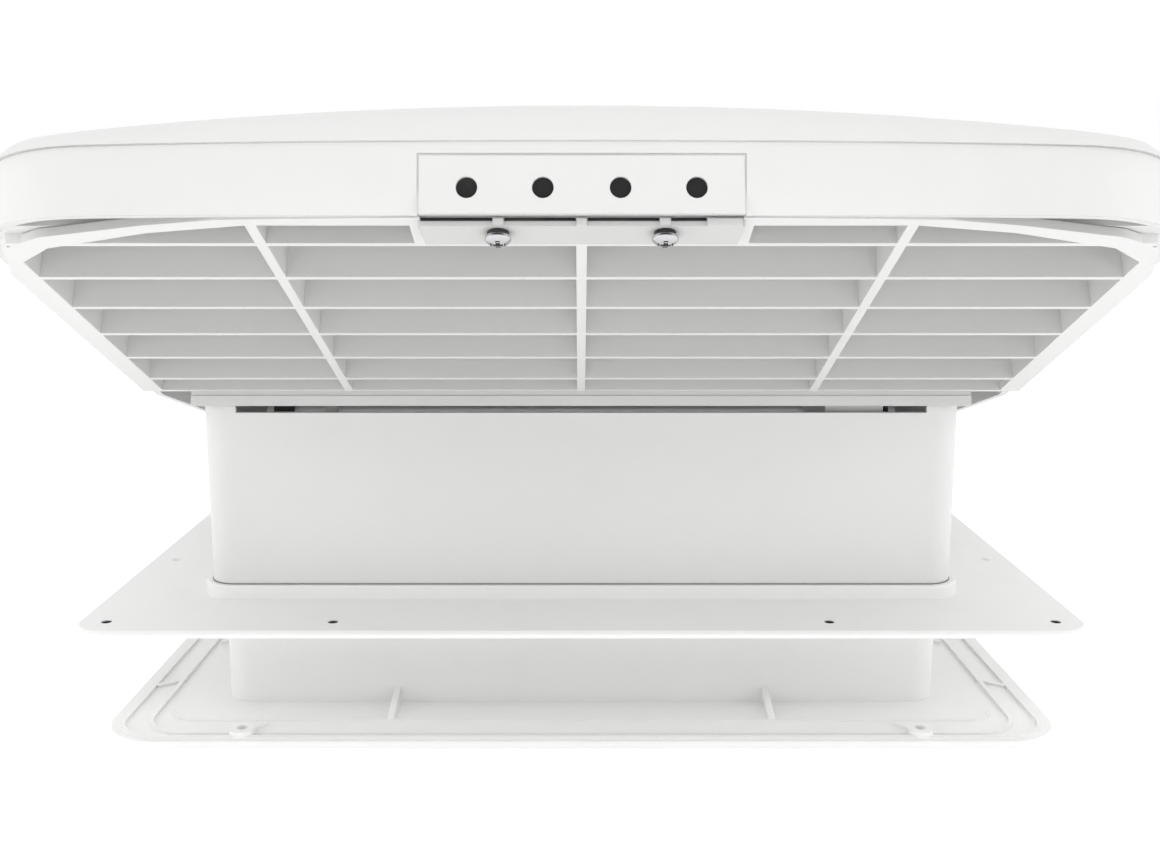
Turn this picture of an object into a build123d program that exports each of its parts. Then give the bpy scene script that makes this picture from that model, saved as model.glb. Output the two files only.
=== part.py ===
from build123d import *
import math
import os

# Roof vent with a powered fan and a hinged rain lid, all lengths in millimetres.
# Z is up. The origin is the middle of the roof flange, on its underside, so z = 0 is the roof skin.
# The lid opens towards -Y and turns on a hinge at the +Y side. The lid is stored open.

os.makedirs("parts", exist_ok=True)

# Shared clearances
seat_gap = 0.2
moving_gap = 0.35
running_gap = 0.05
overrun = 5.0

# Roof flange
flange_side = 419.0
flange_thick = 3.0
flange_corner_r = 14.0
flange_edge_r = 1.2
flange_margin = 42.0
plinth_side = flange_side - 2 * flange_margin
plinth_height = 6.2
plinth_corner_r = 15.0
plinth_edge_r = 1.0
flange_hole_r = 2.2
flange_hole_inset = 12.5
flange_hole_half_step = 103.0

# Base box
plinth_ledge = 3.15
box_side = plinth_side - 2 * plinth_ledge
box_wall = 2.8
box_inner = box_side - 2 * box_wall
box_inner_half = box_inner / 2
box_corner_r = 12.0
box_height = 76.4
post_rise = 3.0
post_width = 16.0
post_boss_side = 15.0
post_boss_bottom = 34.0

# Fan shroud
shroud_plate_z = 52.0
shroud_plate_thick = 2.5
shroud_ring_inset = 6.55
shroud_ring_r = box_inner_half - shroud_ring_inset
shroud_ring_wall = 2.2
shroud_ring_bottom = 24.0

# Fan
fan_tip_gap = 2.6
fan_radius = shroud_ring_r - fan_tip_gap
hub_radius = 42.0
hub_height = 25.0
hub_bottom = 25.5
hub_wall = 2.5
hub_round = 4.0
hub_boss_r = 9.0
blade_count = 10
blade_thick = 2.0
blade_edge_thick = 0.9
blade_root_chord = 33.0
blade_mid_chord = 48.0
blade_tip_chord = 60.0
blade_root_pitch = 38.0
blade_mid_pitch = 26.0
blade_tip_pitch = 19.0
blade_camber_share = 0.07
blade_root_inset = 2.0
blade_mid_share = 0.5
shaft_r = 3.0
shaft_bottom = 21.0
shaft_in_motor = 18.0
clip_r = 7.0
clip_thick = 2.0

# Motor and the bracket that carries it
bracket_thick = 2.0
bracket_arm_width = 20.0
bracket_flange_height = 5.0
bracket_plate_r = 37.0
bracket_overreach = 23.0
bracket_reach = shroud_ring_r + bracket_overreach
bracket_spread = 60.0
bracket_foot_inset = 7.0
motor_r = 31.0
motor_height = 27.0
motor_cap_r = 20.0
motor_cap_height = 5.0
motor_edge_r = 3.0
motor_nose_r = 11.0
motor_slot_count = 6
motor_slot_width = 12.0
motor_slot_height = 3.0
terminal_width = 29.0
terminal_depth = 8.0
terminal_height = 17.0
terminal_right = 0.5
terminal_bottom_gap = 0.5
screw_head_r = 3.2
screw_head_height = 2.2
screw_shank_r = 1.5
screw_length = 9.0
screw_sides = 12
pilot_r = 1.7
pilot_sides = 8

# Hinge between lid and base
hinge_setback = 35.65
hinge_y = box_side / 2 + hinge_setback
hinge_z = 33.0
hinge_inset = 44.35
hinge_x = box_side / 2 - hinge_inset
open_angle = 12.0
hinge_pin_r = 3.0
hinge_knuckle_r = 7.0
hinge_ear_thick = 4.0
hinge_lid_ear_thick = 7.0
hinge_side_gap = 0.6
hinge_plate_thick = 3.0
hinge_plate_width = 44.0
hinge_plate_height = 34.0
hinge_pin_head_r = 5.0
hinge_pin_head_thick = 2.0
hinge_screw_half_step = 15.0

# Lid
lid_overhang = 25.65
lid_half_width = box_side / 2 + lid_overhang
lid_front_reach = 183.15
lid_front = -box_side / 2 - lid_front_reach
lid_front_bow = 5.6
lid_rear_reach = 85.65
lid_rear = box_side / 2 + lid_rear_reach
lid_rear_bow = 10.0
lid_front_corner_r = 45.0
lid_rear_corner_r = 70.0
lid_wall = 3.0
lid_peak_z = 128.0
lid_peak_y = -60.0
lid_dome_r = 1090.0
lid_crown_r = 1540.0
lid_shoulder_r = 16.0
lid_step = 0.8
seam_front_z = 79.0
seam_bend_y = -150.0
seam_rear_z = 50.0
lip_z = 57.8
lip_flat_depth = 25.5
lip_flat_y = lid_front + lip_flat_depth
skirt_low_z = 17.7
skirt_low_y = -146.0
skirt_flat_z = 13.5
skirt_flat_y = -70.0
skirt_rear_z = 17.0

# Louvre panel under the lid's front half
louvre_foot_gap = 4.85
louvre_foot_y = -box_side / 2 - louvre_foot_gap
louvre_foot_z = 16.7
louvre_slope = 13.1
louvre_length = 178.5
louvre_skin = 3.0
louvre_rail = 8.5
louvre_top_bar = 5.5
louvre_bar_inset = 24.0
louvre_bar_half = lid_half_width - louvre_bar_inset
louvre_bar_thick = 3.5
louvre_bar_drop = 5.25
louvre_bar_height = 4.25
louvre_web_step = 0.7
louvre_web_height = 10.5
louvre_first_opening = 2.0
slat_count = 6
slat_top = 157.8
slat_pitch = 27.5
slat_thick = 2.2
slat_depth = 19.0
rib_thick = 3.4
rib_half_step = 98.5
short_rib_x = 49.5
louvre_flat_inset = 90.0
louvre_flat_half = lid_half_width - louvre_flat_inset
louvre_mid_inset = 59.0
louvre_mid_x = lid_half_width - louvre_mid_inset
louvre_mid_drop = 5.5
louvre_end_inset = 24.5
louvre_end_x = lid_half_width - louvre_end_inset
louvre_end_drop = 14.3
louvre_corner_inset = 10.0
louvre_corner_x = lid_half_width - louvre_corner_inset
louvre_corner_drop = 23.2
louvre_side_drop = 45.0

# Centre plate and screw strip at the lip
plate_half = 47.5
plate_top = 75.0
plate_thick = 2.2
plate_flange = 5.0
plate_gap = 0.4
plate_inset = 0.3
plate_hole_r = 3.15
plate_hole_inner_x = 11.3
plate_hole_outer_x = 33.5
plate_hole_z = 65.4
plug_length = 7.0
plug_recess = 1.2
strip_top_half = 48.0
strip_foot_half = 47.2
strip_foot = 163.8
strip_top = 177.2
strip_thick = 2.0
strip_tab_width = 3.2
strip_tab_step = 24.5
strip_tab_length = 1.3
strip_end_tab_x = 36.8
strip_screw_x = 24.8
strip_screw_along = 172.6
strip_screw_head_r = 4.2
strip_screw_head_height = 2.6
strip_screw_length = 10.0
strip_screw_bevel = 1.3

# Lift mechanism
lift_setback = 57.55
lift_y = -box_inner_half + lift_setback
lift_z = 75.0
lift_shaft_r = 4.0
lift_shaft_overhang = 6.0
arm_length = 120.0
arm_swing = 20.0
arm_closed_angle = -2.0
arm_thick = 4.0
arm_width = 12.0
arm_slot_share = 0.34
arm_hub_r = 7.0
arm_hub_length = 9.0
arm_inset = 18.55
arm_x = box_inner_half - arm_inset
glide_r = 5.0
glide_length = 10.0
glide_head_r = 7.0
glide_head_thick = 1.6
slot_gap = 0.65
track_thick = 3.0
track_border = 6.5
gear_r = 30.0
gear_pitches = 48
gear_thick = 5.0
gear_addendum = 0.9
gear_dedendum = 1.3
gear_hub_r = 8.0
gear_hub_length = 14.0
gear_teeth_below = 4
gear_teeth_above = 2
gear_tooth_share = 0.43
gear_tip_share = 0.27
gear_root_share = 0.6
gear_inset = 25.0
gear_x = arm_x - gear_inset
worm_r = 6.0
worm_root_r = 4.8
worm_tip_r = 6.9
worm_turns = 4
worm_tip_share = 0.19
worm_base_share = 0.46
crank_shaft_r = 3.0
crank_top = 89.0
gearbox_base = 2.6
gearbox_wall = 3.0
gearbox_half = 12.5
gearbox_boss_r = 6.5
gearbox_boss_height = 5.0
gearbox_top_z = 84.5
gearbox_top_thick = 3.5
gearbox_top_reach = 5.5
gearbox_front_gap = 1.5
bearing_half = 8.0
bearing_foot = 20.0

# Ceiling trim
trim_neck_gap = 1.55
trim_neck_side = box_inner - 2 * trim_neck_gap
trim_margin = 43.5
trim_side = trim_neck_side + 2 * trim_margin
trim_corner_r = 25.0
trim_thick = 4.0
trim_under = 50.8
trim_edge_r = 1.5
trim_neck_wall = 2.75
trim_neck_corner_r = 11.3
trim_neck_top = 18.0
trim_rim_inset = 5.0
trim_rim_width = 2.0
trim_rim_height = 1.2
trim_rim_front_inset = 2.0
trim_inner_rim_inset = 16.0
trim_inner_rim_front_inset = 5.5
trim_bead_inset_x = 22.5
trim_bead_inset_y = 20.5
trim_bead_corner_r = 14.0
trim_bead_width = 1.6
trim_bead_height = 0.9
trim_bead_reach = 32.0
trim_boss_rib_width = 2.4
trim_boss_rib_angle = 35.0
trim_key_width = 2.0
trim_key_half_step = 100.0
trim_gusset_x = 82.5
trim_gusset_length = 23.0
trim_gusset_height = 7.0
trim_gusset_thick = 3.0
trim_boss_r = 5.5
trim_boss_height = 3.2
trim_hole_r = 2.2
trim_hole_inset = 6.9
trim_hole_half_step = 143.0
trim_ledge_width = 19.0
trim_ledge_thick = 2.2
trim_ledge_z = -34.2

# Console with the controls, inside the neck at the front
console_inset = 10.25
console_depth = 33.0
console_bottom = -38.5
console_height = 17.0
console_wall = 2.0
console_edge_r = 1.5
board_width = 100.0
board_depth = 24.0
board_thick = 1.6
board_lift = 7.0
board_post_r = 2.5
switch_body_r = 9.0
switch_body_height = 5.0
dial_x = 0.0
dial_r = 11.0
dial_height = 8.0
dial_pointer_width = 4.0
dial_pointer_height = 2.5
dial_stem_r = 3.0
rocker_x = 58.0
rocker_length = 20.0
rocker_width = 11.0
rocker_thick = 6.0
rocker_rise = 1.6
rocker_frame_border = 2.0
rocker_frame_thick = 1.2
rocker_pin_r = 1.2
rocker_body_height = 9.0
knob_r = 14.0
knob_height = 10.5
knob_lobes = 6
knob_lobe_r = 3.2
knob_skirt_height = 2.0
fuse_x = -58.0
fuse_r = 6.5
fuse_height = 12.0
fuse_cap_height = 3.0
fuse_slot_width = 1.6

# Insect screen
screen_thick = 3.0
screen_border = 22.0
screen_side_gap = 0.8
screen_bar_width = 8.0
screen_corner_r = 6.0
mesh_thick = 0.8
mesh_count = 7
mesh_wire = 1.5
turn_knob_r = 8.0
turn_knob_height = 5.0
turn_grip_width = 3.0
turn_grip_height = 3.0
turn_shank_r = 3.0
turn_tab_length = 15.0
turn_tab_width = 5.0
turn_tab_thick = 2.0
turn_slot_gap = 0.6
turn_knob_inset_y = 40.0

# Heights and places that follow from the sizes above
plinth_top = flange_thick + plinth_height
box_top = plinth_top + box_height
shroud_top = shroud_plate_z + shroud_plate_thick
bracket_top = shroud_top + bracket_thick
motor_top = bracket_top + motor_height
crank_y = lift_y - gear_r - worm_r
lift_shaft_half = arm_x + lift_shaft_overhang
trim_top = trim_thick - trim_under
neck_inner_half = trim_neck_side / 2 - trim_neck_wall
console_half = neck_inner_half - console_inset
console_front = -neck_inner_half + seat_gap
console_rear = console_front + console_depth
console_middle = (console_front + console_rear) / 2
console_floor = console_bottom + console_wall
gear_pitch = 2 * math.pi * gear_r / gear_pitches
gear_step = 360 / gear_pitches
seam_front_y = lid_front - overrun


def box_between(low, high):
    """Solid block between two corners."""
    size = [b - a for a, b in zip(low, high)]
    middle = [(a + b) / 2 for a, b in zip(low, high)]
    return Pos(*middle) * Box(*size)


def rod_z(x, y, z_low, z_high, radius):
    """Round rod along Z between two heights."""
    return Pos(x, y, (z_low + z_high) / 2) * Cylinder(radius, z_high - z_low)


def rod_x(x_low, x_high, y, z, radius):
    """Round rod along X between two places."""
    turned = Rot(0, 90, 0) * Cylinder(radius, x_high - x_low)
    return Pos((x_low + x_high) / 2, y, z) * turned


def many_sided_rod(x, y, z_low, z_high, radius, sides):
    """Rod along Z with flat sides, its corners on the radius."""
    outline = RegularPolygon(radius, sides)
    return Pos(x, y, z_low) * extrude(outline, z_high - z_low)


def pilot_hole(x, y, z_low, z_high):
    """Cutter along Z for the hole of a hidden screw."""
    return many_sided_rod(x, y, z_low, z_high, pilot_r, pilot_sides)


def pilot_hole_y(x, y, z):
    """Cutter along Y for the hole of a hidden screw through a wall at y."""
    return Pos(x, y, z) * (Rot(90, 0, 0) * pilot_hole(0, 0, -overrun, overrun))


def square_slab(side, corner, z_low, z_high):
    """Square slab with rounded corners in plan."""
    sketch = RectangleRounded(side, side, corner)
    return Pos(0, 0, z_low) * extrude(sketch, z_high - z_low)


def slab(width, depth, corner, z_low, z_high):
    """Rectangular slab with rounded corners in plan, centred on Z."""
    sketch = RectangleRounded(width, depth, corner)
    return Pos(0, 0, z_low) * extrude(sketch, z_high - z_low)


def side_prism(points, x_low, x_high):
    """Prism along X whose section is given as (y, z) points."""
    corners = [(x_low, y, z) for y, z in points]
    face = Face(Wire.make_polygon(corners))
    if face.normal_at().X < 0:
        face = -face
    return Solid.extrude(face, Vector(x_high - x_low, 0, 0))


def opened(shape):
    """Turns a lid piece from the closed place to the open one."""
    return shape.rotate(Axis((0, hinge_y, hinge_z), (1, 0, 0)), -open_angle)


def write(node, shape):
    """Writes one sub-part as a STEP file."""
    export_step(shape, f"parts/{node}.step")


# Base


def make_roof_flange():
    """Square flange with its screw holes and the plinth round the box."""
    plate = square_slab(flange_side, flange_corner_r, 0, flange_thick)
    plate = chamfer(plate.edges().group_by(Axis.Z)[-1], flange_edge_r)
    plinth = square_slab(plinth_side, plinth_corner_r, 0, plinth_top)
    plinth = chamfer(plinth.edges().group_by(Axis.Z)[-1], plinth_edge_r)
    body = plate + plinth
    body -= square_slab(box_inner, box_corner_r - box_wall, -overrun, plinth_top + overrun)
    edge = flange_side / 2 - flange_hole_inset
    step = flange_hole_half_step
    places = [(x, y) for x in (-edge, edge) for y in (-edge, edge)]
    places += [(x, y) for x in (-step, step) for y in (-edge, edge)]
    places += [(x, y) for x in (-edge, edge) for y in (-step, step)]
    for x, y in places:
        body -= rod_z(x, y, -overrun, flange_thick + overrun, flange_hole_r)
    return body


def post_places():
    """Middles of the four screw bosses in the box's inner corners."""
    reach = box_inner_half - post_boss_side / 2
    return [(x, y) for x in (-reach, reach) for y in (-reach, reach)]


def make_base_box():
    """Box on the plinth, with raised corner posts and four screw bosses inside."""
    outer = square_slab(box_side, box_corner_r, plinth_top, box_top)
    posts = square_slab(box_side, box_corner_r, box_top, box_top + post_rise)
    bay = box_side - 2 * post_width
    posts -= box_between((-bay / 2, -box_side, box_top), (bay / 2, box_side, box_top + overrun))
    posts -= box_between((-box_side, -bay / 2, box_top), (box_side, bay / 2, box_top + overrun))
    body = outer + posts
    body -= square_slab(box_inner, box_corner_r - box_wall, 0, box_top + overrun)
    for x, y in post_places():
        half = post_boss_side / 2
        boss = box_between((x - half, y - half, post_boss_bottom), (x + half, y + half, shroud_plate_z))
        boss &= square_slab(box_inner + box_wall, box_corner_r - box_wall / 2, 0, box_top)
        body += boss
        body -= pilot_hole(x, y, post_boss_bottom - overrun, shroud_plate_z + overrun)
    for x in hinge_screw_places():
        body -= pilot_hole_y(x, box_side / 2, hinge_z)
    return body


def make_fan_shroud():
    """Plate across the box with the ring that the fan turns in."""
    side = box_inner - 2 * seat_gap
    plate = square_slab(side, box_corner_r - box_wall, shroud_plate_z, shroud_top)
    outer_r = shroud_ring_r + shroud_ring_wall
    ring = rod_z(0, 0, shroud_ring_bottom, shroud_top, outer_r)
    body = plate + ring
    body -= rod_z(0, 0, shroud_ring_bottom - overrun, shroud_top + overrun, shroud_ring_r)
    circles = body.edges().filter_by(GeomType.CIRCLE)
    mouth = circles.filter_by(lambda edge: abs(edge.radius - shroud_ring_r) < running_gap)
    body = chamfer(mouth.sort_by(Axis.Z)[-1], shroud_plate_thick - seat_gap)
    low = shroud_plate_z - overrun
    high = shroud_top + overrun
    for x, y in post_places() + bracket_foot_places():
        body -= pilot_hole(x, y, low, high)
    body -= rod_z(gear_x, crank_y, low, high, crank_shaft_r + 2 * moving_gap)
    return body


def make_pan_screw(x, y, seat_z):
    """Pan-head screw with its head on seat_z, pointing down."""
    head = many_sided_rod(x, y, seat_z, seat_z + screw_head_height, screw_head_r, screw_sides)
    shank = many_sided_rod(x, y, seat_z - screw_length, seat_z, screw_shank_r, pilot_sides)
    return head + shank


def make_shroud_screws():
    """Screws that hold the shroud on the box's bosses."""
    return Compound(children=[make_pan_screw(x, y, shroud_top) for x, y in post_places()])


# Fan and motor


def blade_section(radius, chord, pitch):
    """Cambered blade section in the plane square to the radius."""
    camber = chord * blade_camber_share
    half = chord / 2
    edge = blade_edge_thick
    lower = ThreePointArc((-half, 0), (0, camber), (half, 0))
    upper = ThreePointArc((half, edge), (0, camber + blade_thick), (-half, edge))
    leading = Line((half, 0), (half, edge))
    trailing = Line((-half, edge), (-half, 0))
    outline = make_face([lower, leading, upper, trailing])
    middle_z = hub_bottom + hub_height / 2
    plane = Plane(origin=(radius, 0, middle_z), x_dir=(0, 1, 0), z_dir=(1, 0, 0))
    return plane * (Rot(0, 0, pitch) * outline)


def make_fan_rotor():
    """Ten-bladed axial fan with an open hub."""
    hub = rod_z(0, 0, hub_bottom, hub_bottom + hub_height, hub_radius)
    hub = chamfer(hub.edges().group_by(Axis.Z)[-1], hub_round)
    hub -= rod_z(0, 0, hub_bottom - overrun, hub_bottom + hub_height - hub_wall, hub_radius - hub_wall)
    hub += rod_z(0, 0, hub_bottom, hub_bottom + hub_height - hub_wall, hub_boss_r)
    root = hub_radius - blade_root_inset
    middle = root + (fan_radius - root) * blade_mid_share
    blade = loft([
        blade_section(root, blade_root_chord, blade_root_pitch),
        blade_section(middle, blade_mid_chord, blade_mid_pitch),
        blade_section(fan_radius + blade_thick, blade_tip_chord, blade_tip_pitch),
    ])
    blade &= rod_z(0, 0, 0, hub_bottom + 2 * hub_height, fan_radius)
    blade -= rod_z(0, 0, 0, hub_bottom + 2 * hub_height, hub_radius - hub_wall / 2)
    rotor = hub
    for index in range(blade_count):
        rotor += Rot(0, 0, index * 360 / blade_count) * blade
    rotor -= rod_z(0, 0, hub_bottom - overrun, hub_bottom + hub_height + overrun, shaft_r)
    return rotor


def make_fan_shaft():
    """Steel shaft from the motor down through the fan's hub."""
    return rod_z(0, 0, shaft_bottom, bracket_top + shaft_in_motor, shaft_r)


def make_fan_clip():
    """Retaining clip under the fan's hub."""
    clip = rod_z(0, 0, hub_bottom - clip_thick, hub_bottom, clip_r)
    clip -= rod_z(0, 0, hub_bottom - clip_thick - overrun, hub_bottom + overrun, shaft_r)
    return clip


def bracket_foot_places():
    """Middles of the four screws at the ends of the bracket's arms."""
    reach = bracket_reach - bracket_foot_inset
    x = reach * math.cos(math.radians(bracket_spread))
    y = reach * math.sin(math.radians(bracket_spread))
    return [(-x, -y), (x, -y), (-x, y), (x, y)]


def make_motor_bracket():
    """Four-armed bracket of folded sheet that carries the motor over the ring."""
    body = rod_z(0, 0, shroud_top, bracket_top, bracket_plate_r)
    half = bracket_arm_width / 2
    for turn in (bracket_spread, 180 - bracket_spread):
        arm = box_between((-bracket_reach, -half, shroud_top), (bracket_reach, half, bracket_top))
        arm = Rot(0, 0, turn) * arm
        body += arm
        for side in (-1, 1):
            low = side * half - (bracket_thick if side > 0 else 0)
            for end in (-1, 1):
                inner = end * bracket_plate_r
                outer = end * (bracket_reach - bracket_arm_width)
                x_low, x_high = sorted((inner, outer))
                lip_low = (x_low, low, bracket_top - bracket_thick)
                lip_high = (x_high, low + bracket_thick, bracket_top + bracket_flange_height)
                body += Rot(0, 0, turn) * box_between(lip_low, lip_high)
    for x, y in bracket_foot_places():
        body -= pilot_hole(x, y, shroud_top - overrun, bracket_top + overrun)
    body -= rod_z(0, 0, shroud_top - overrun, bracket_top + overrun, motor_nose_r + seat_gap)
    return body


def make_bracket_screws():
    """Screws at the ends of the bracket's arms."""
    return Compound(children=[make_pan_screw(x, y, bracket_top) for x, y in bracket_foot_places()])


def make_motor():
    """Motor can with its cap, nose, side vents and shaft bore."""
    can = rod_z(0, 0, bracket_top, motor_top, motor_r)
    can = chamfer(can.edges().group_by(Axis.Z)[-1], motor_edge_r)
    can += rod_z(0, 0, motor_top, motor_top + motor_cap_height, motor_cap_r)
    can = chamfer(can.edges().group_by(Axis.Z)[-1], motor_edge_r / 2)
    nose_low = shroud_top - moving_gap
    can += rod_z(0, 0, nose_low, bracket_top, motor_nose_r)
    vent_z = motor_top - motor_edge_r - motor_slot_height
    for index in range(motor_slot_count):
        slot = box_between(
            (motor_r - motor_edge_r, -motor_slot_width / 2, vent_z - motor_slot_height),
            (motor_r + overrun, motor_slot_width / 2, vent_z),
        )
        can -= Rot(0, 0, index * 360 / motor_slot_count) * slot
    bore = shaft_r + running_gap
    can -= rod_z(0, 0, nose_low - overrun, bracket_top + shaft_in_motor + seat_gap, bore)
    return can


def make_motor_terminal():
    """Terminal block on the front of the motor, cut to the round of the can."""
    low_z = bracket_top + bracket_flange_height + terminal_bottom_gap
    low = (terminal_right - terminal_width, -motor_r - terminal_depth, low_z)
    high = (terminal_right, 0, low_z + terminal_height)
    block = box_between(low, high)
    block -= rod_z(0, 0, 0, motor_top + motor_cap_height, motor_r)
    return block.solids().sort_by(Axis.Y)[0]


# Lid


def lid_plan(inset, z_low, z_high):
    """Upright block with the lid's outline in plan, drawn in by inset."""
    half = lid_half_width - inset
    front = lid_front + inset
    rear = lid_rear - inset
    front_arc = ThreePointArc((-half, front + lid_front_bow), (0, front), (half, front + lid_front_bow))
    rear_arc = ThreePointArc((half, rear - lid_rear_bow), (0, rear), (-half, rear - lid_rear_bow))
    right = Line((half, front + lid_front_bow), (half, rear - lid_rear_bow))
    left = Line((-half, rear - lid_rear_bow), (-half, front + lid_front_bow))
    face = make_face([front_arc, right, rear_arc, left])
    by_y = face.vertices().sort_by(Axis.Y)
    face = fillet(by_y[:2], lid_front_corner_r - inset)
    by_y = face.vertices().sort_by(Axis.Y)
    face = fillet(by_y[-2:], lid_rear_corner_r - inset)
    return Pos(0, 0, z_low) * extrude(face, z_high - z_low)


def lid_dome(inset):
    """Solid under the doubly curved roof of the lid, lowered by inset."""
    reach = lid_half_width + overrun
    axis_z = lid_peak_z - lid_dome_r
    top = lid_dome_r - inset
    edge = top - lid_crown_r + math.sqrt(lid_crown_r**2 - reach**2)
    low = lid_dome_r - 2 * lid_peak_z
    arc = ThreePointArc((-reach, edge), (0, top), (reach, edge))
    sides = Polyline((reach, edge), (reach, low), (-reach, low), (-reach, edge))
    face = make_face([arc, *sides.edges()])
    plane = Plane(origin=(0, lid_peak_y, axis_z), x_dir=(1, 0, 0), z_dir=(0, -1, 0))
    upright = plane * face
    axis = Axis((0, lid_peak_y, axis_z), (1, 0, 0))
    rear_turn = math.degrees(math.asin((lid_rear - lid_peak_y + overrun) / top))
    front_turn = math.degrees(math.asin((lid_peak_y - lid_front + overrun) / top))
    started = upright.rotate(axis, -rear_turn)
    return revolve(started, axis, rear_turn + front_turn)


def lid_block(inset):
    """Closed lid as one solid block: outline in plan, domed roof, rounded shoulder."""
    block = lid_plan(inset, 0, lid_peak_z + overrun) & lid_dome(inset)
    block = block.solids().sort_by(SortBy.VOLUME)[-1]
    roof = block.faces().sort_by(Axis.Z)[-1]
    return fillet(roof.edges(), lid_shoulder_r - inset)


def seam_prism(z_shift):
    """Everything above the seam between roof shell and rain shield."""
    top = lid_peak_z + overrun
    points = [
        (seam_front_y, seam_front_z + z_shift),
        (seam_bend_y, seam_front_z + z_shift),
        (lid_rear + overrun, seam_rear_z + z_shift),
        (lid_rear + overrun, top),
        (seam_front_y, top),
    ]
    return side_prism(points, -lid_half_width - overrun, lid_half_width + overrun)


def skirt_prism():
    """Everything above the lower edge of the lid's skirt."""
    top = lid_peak_z + overrun
    points = [
        (seam_front_y, lip_z),
        (lip_flat_y, lip_z - lid_step),
        (skirt_low_y, skirt_low_z),
        (skirt_flat_y, skirt_flat_z),
        (hinge_y, skirt_flat_z),
        (lid_rear + overrun, skirt_rear_z),
        (lid_rear + overrun, top),
        (seam_front_y, top),
    ]
    return side_prism(points, -lid_half_width - overrun, lid_half_width + overrun)


def make_lid_cover(outer, inner):
    """Domed roof shell of the lid, down to the seam."""
    return (outer - inner) & seam_prism(0)


def make_rain_shield(shield_outer, shield_inner):
    """Lower band and skirt of the lid, set back by a step under the seam."""
    shell = (shield_outer - shield_inner) & skirt_prism()
    shell -= seam_prism(0)
    window = box_between(
        (-plate_half - plate_gap, lid_front - overrun, lip_z - overrun),
        (plate_half + plate_gap, lid_front + lid_front_bow + lid_wall + overrun, plate_top + plate_gap),
    )
    return shell - window


def make_access_plate():
    """Centre plate in the lip's window, with a flange behind the shield's wall."""
    face_y = lid_front + lid_step + plate_inset
    inner_y = lid_front + lid_step + lid_wall
    back_half = plate_half + plate_flange
    back_y = inner_y + lid_front_bow * (back_half / lid_half_width) ** 2 + seat_gap
    front = box_between((-plate_half, face_y, lip_z), (plate_half, back_y, plate_top))
    front = chamfer(front.edges().group_by(Axis.Y)[0], plate_inset)
    back_low = (-back_half, back_y, lip_z + plate_flange)
    back_high = (back_half, back_y + plate_thick, seam_front_z - plate_gap)
    plate = front + box_between(back_low, back_high)
    reach = 2 * (plate_thick + lid_wall) + overrun
    for x in plate_hole_places():
        plate -= Pos(x, back_y, plate_hole_z) * (Rot(90, 0, 0) * Cylinder(plate_hole_r, reach))
    return plate


def plate_hole_places():
    """Places along X of the centre plate's four holes."""
    return (-plate_hole_outer_x, -plate_hole_inner_x, plate_hole_inner_x, plate_hole_outer_x)


def make_plate_plugs():
    """Blind rubber plugs set back in the four holes of the centre plate."""
    start = lid_front + lid_step + plate_inset + plug_recess
    plugs = []
    for x in plate_hole_places():
        stem = Cylinder(plate_hole_r - running_gap, plug_length)
        plugs.append(Pos(x, start + plug_length / 2, plate_hole_z) * (Rot(90, 0, 0) * stem))
    return Compound(children=plugs)


def louvre_plane():
    """Plane of the louvre's face: local x is X, local y runs up to the lip, local z points out."""
    slope = math.radians(louvre_slope)
    origin = (0, louvre_foot_y, louvre_foot_z)
    return Plane(origin=origin, x_dir=(1, 0, 0), z_dir=(0, -math.sin(slope), -math.cos(slope)))


def louvre_half_outline(inset):
    """Upper right part of the louvre's outline, drawn in by inset, from mid-line to foot."""
    edge = lid_half_width - lid_step - lid_wall - seat_gap - inset
    top = louvre_length - inset
    return [
        (louvre_flat_half, top),
        (louvre_mid_x, top - louvre_mid_drop),
        (louvre_end_x - inset / 2, top - louvre_end_drop),
        (min(louvre_corner_x, edge), top - louvre_corner_drop + inset / 3),
        (edge, top - louvre_side_drop + inset),
    ]


def louvre_face(inset, foot):
    """Face of the louvre's outline in its own plane."""
    half = louvre_half_outline(inset)
    right = [half[0], half[1], half[2], half[3], half[4], (half[4][0], foot)]
    left = [(-x, y) for x, y in reversed(right)]
    return make_face(Polyline(*(right + left), close=True))


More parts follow.
